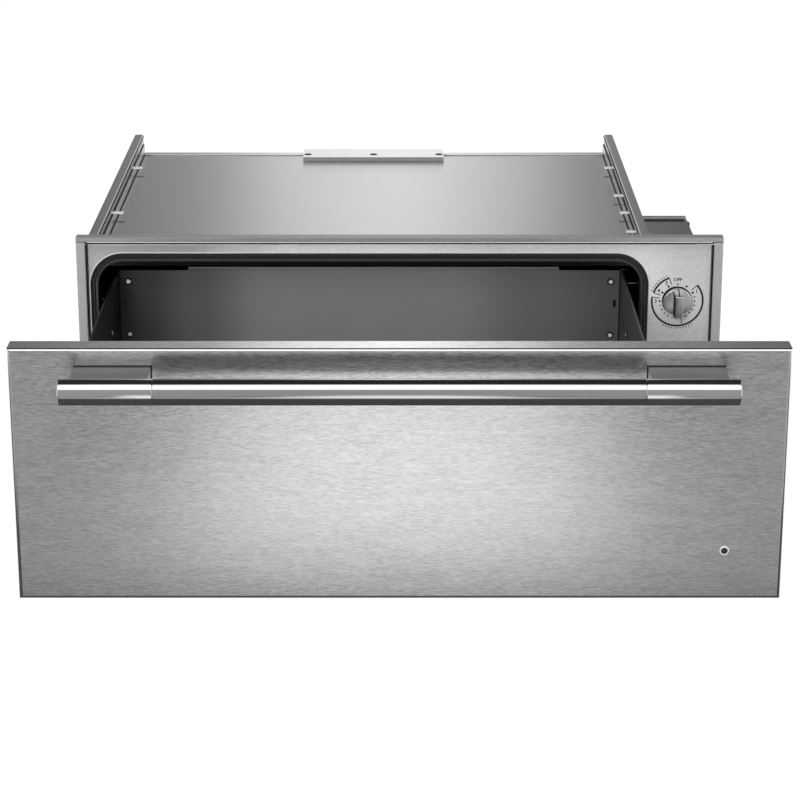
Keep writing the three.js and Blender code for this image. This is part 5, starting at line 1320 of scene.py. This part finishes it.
FLOOR_Z, FLOOR_GLOW, FLOOR_GREY = -0.30, 0.88, (0.3, 0.3, 0.3, 1)
bpy.ops.object.select_all(action="DESELECT")
bpy.ops.mesh.primitive_plane_add(size=14, location=(0, 0, FLOOR_Z))
floor = bpy.context.object
floor.name = "floor"
floor_material = bpy.data.materials.new("pale_floor")
floor_material.use_nodes = True
floor_tree = floor_material.node_tree
floor_tree.nodes.clear()
floor_out = floor_tree.nodes.new("ShaderNodeOutputMaterial")
floor_add = floor_tree.nodes.new("ShaderNodeAddShader")
floor_diffuse = floor_tree.nodes.new("ShaderNodeBsdfDiffuse")
floor_glow = floor_tree.nodes.new("ShaderNodeEmission")
floor_level = math_node(floor_tree, "MULTIPLY")
floor_level.inputs[1].default_value = FLOOR_GLOW
floor_diffuse.inputs["Color"].default_value = FLOOR_GREY
floor_tree.links.new(flagged_white(floor_tree), floor_level.inputs[0])
floor_tree.links.new(floor_level.outputs["Value"], floor_glow.inputs["Strength"])
floor_tree.links.new(floor_diffuse.outputs["BSDF"], floor_add.inputs[0])
floor_tree.links.new(floor_glow.outputs["Emission"], floor_add.inputs[1])
floor_tree.links.new(floor_add.outputs["Shader"], floor_out.inputs["Surface"])
paint(floor, floor_material)
print("floor at", FLOOR_Z)

# %% World
DIM, LIFT = 0.5, 0.5
world = bpy.data.worlds.new("studio")
bpy.context.scene.world = world
world.use_nodes = True
world_tree = world.node_tree
background = world_tree.nodes["Background"]
background.inputs["Color"].default_value = (1, 1, 1, 1)
ambient = math_node(world_tree, "MULTIPLY_ADD")
ambient.inputs[1].default_value = LIFT
ambient.inputs[2].default_value = DIM
world_tree.links.new(flagged_white(world_tree), ambient.inputs[0])
world_tree.links.new(ambient.outputs["Value"], background.inputs["Strength"])
print("world level", DIM, "and", DIM + LIFT, "where the camera or a reflection sees it")

# %% [markdown]
# ## Reflection cards
# Each card is a plane that shines only into reflections. It is hidden from the camera and from
# diffuse light, so it shapes the highlights of the metal and nothing else. Its brightness runs along
# its own X and Y through a few stops.


# %% One card
def card(name, centre, turn, width, depth, across, along, level=1.0, base=0.0):
    """A card that only reflections see: a base, and stops along its own X times those along Y."""
    bpy.ops.object.select_all(action="DESELECT")
    bpy.ops.mesh.primitive_plane_add(size=1)
    piece = bpy.context.object
    piece.scale = (width, depth, 1)
    settle(piece)
    piece.location = centre
    piece.rotation_euler = turn
    piece.name = name
    material = bpy.data.materials.new(name)
    material.use_nodes = True
    tree = material.node_tree
    tree.nodes.clear()
    out = tree.nodes.new("ShaderNodeOutputMaterial")
    glow = tree.nodes.new("ShaderNodeEmission")
    place = tree.nodes.new("ShaderNodeTexCoord")
    split = tree.nodes.new("ShaderNodeSeparateXYZ")
    both, scaled = math_node(tree, "MULTIPLY"), math_node(tree, "MULTIPLY_ADD")
    scaled.inputs[1].default_value = level
    scaled.inputs[2].default_value = base
    tree.links.new(place.outputs["Object"], split.inputs["Vector"])
    tree.links.new(ramp_along(tree, split.outputs["X"], width / 2, across), both.inputs[0])
    tree.links.new(ramp_along(tree, split.outputs["Y"], depth / 2, along), both.inputs[1])
    tree.links.new(both.outputs["Value"], scaled.inputs[0])
    tree.links.new(scaled.outputs["Value"], glow.inputs["Strength"])
    tree.links.new(glow.outputs["Emission"], out.inputs["Surface"])
    paint(piece, material)
    piece.visible_camera = False
    piece.visible_diffuse = False
    piece.visible_transmission = False
    piece.visible_shadow = False


# %% Cards round the object
FLAT, UPRIGHT = (0, 0, 0), (math.radians(90), 0, 0)
EVEN = [(-0.05, 1.0), (0.05, 1.0)]
SIDE_FALL = [(0.0, 1.0), (0.16, 0.95), (0.26, 0.62), (0.36, 0.15), (0.50, 0.0)]
FLOOR_ACROSS = [(-x, value) for x, value in reversed(SIDE_FALL[1:])] + SIDE_FALL
FLOOR_ALONG = [
    (-0.4, 0.5),
    (0.25, 0.9),
    (0.45, 0.85),
    (0.62, 0.95),
    (0.78, 1.0),
    (0.86, 0.8),
    (0.96, 0.35),
    (1.08, 0.0),
]
BACK_LEFT = [(-2.4, 0.1), (-0.9, 0.2), (-0.44, 0.42), (-0.2, 1.2)]
BACK_RIGHT = [(0.02, 1.45), (0.2, 1.0), (0.44, 0.36), (0.9, 0.18), (2.4, 0.1)]
floor_card_place = (0, -2.2, FLOOR_Z + 0.01)
card("floor_card", floor_card_place, FLAT, 4.0, 3.7, FLOOR_ACROSS, FLOOR_ALONG, 0.93, 0.40)
for side, sign in (("left", -1), ("right", 1)):
    shade_place = (sign * 0.43, -1.91, FLOOR_Z + 0.03)
    card("handle_shade_" + side, shade_place, FLAT, 0.17, 0.22, EVEN, EVEN, 0.0)
card("near_floor_card", (0, -0.74, FLOOR_Z + 0.02), FLAT, 4.0, 0.68, EVEN, EVEN, 0.08)
card("back_card", (0, 2.4, 1.0), UPRIGHT, 5.0, 1.8, BACK_LEFT + BACK_RIGHT, EVEN)
card("upper_back_card", (0, 1.14, 1.9), FLAT, 5.0, 3.52, EVEN, EVEN, 0.03)
card("front_card", (0, -4.2, 1.6), UPRIGHT, 6.0, 4.4, EVEN, EVEN, 0.42)

# %% [markdown]
# ## Lamps
# A wide softbox overhead lights the object evenly, and a smaller one in front lifts the faces that
# look forward. The front one stays out of reflections, so that it draws no bright square on the
# steel. Area lamps are chosen because their size, and so the softness of the shadows, is theirs to
# set.


# %% Softboxes
def softbox(name, centre, turn, width, depth, brightness):
    """A rectangular lamp; its power follows from its size and how bright it looks."""
    lamp_data = bpy.data.lights.new(name, "AREA")
    lamp_data.shape = "RECTANGLE"
    lamp_data.size = width
    lamp_data.size_y = depth
    lamp_data.energy = brightness * math.pi * width * depth
    lamp = bpy.data.objects.new(name, lamp_data)
    bpy.context.scene.collection.objects.link(lamp)
    lamp.location = centre
    lamp.rotation_euler = turn
    return lamp


softbox("top_softbox", (0, -1.61, 1.65), FLAT, 2.6, 1.56, 1.02)
front_turn = (math.radians(72), 0, math.radians(-13))
front_lamp = softbox("front_softbox", (-0.6, -2.7, 0.98), front_turn, 1.0, 0.6, 19.0)
front_lamp.visible_glossy = False

# %% [markdown]
# ## Finish
# The plain view transform keeps white as white.

# %% View settings
bpy.context.scene.view_settings.view_transform = "Standard"
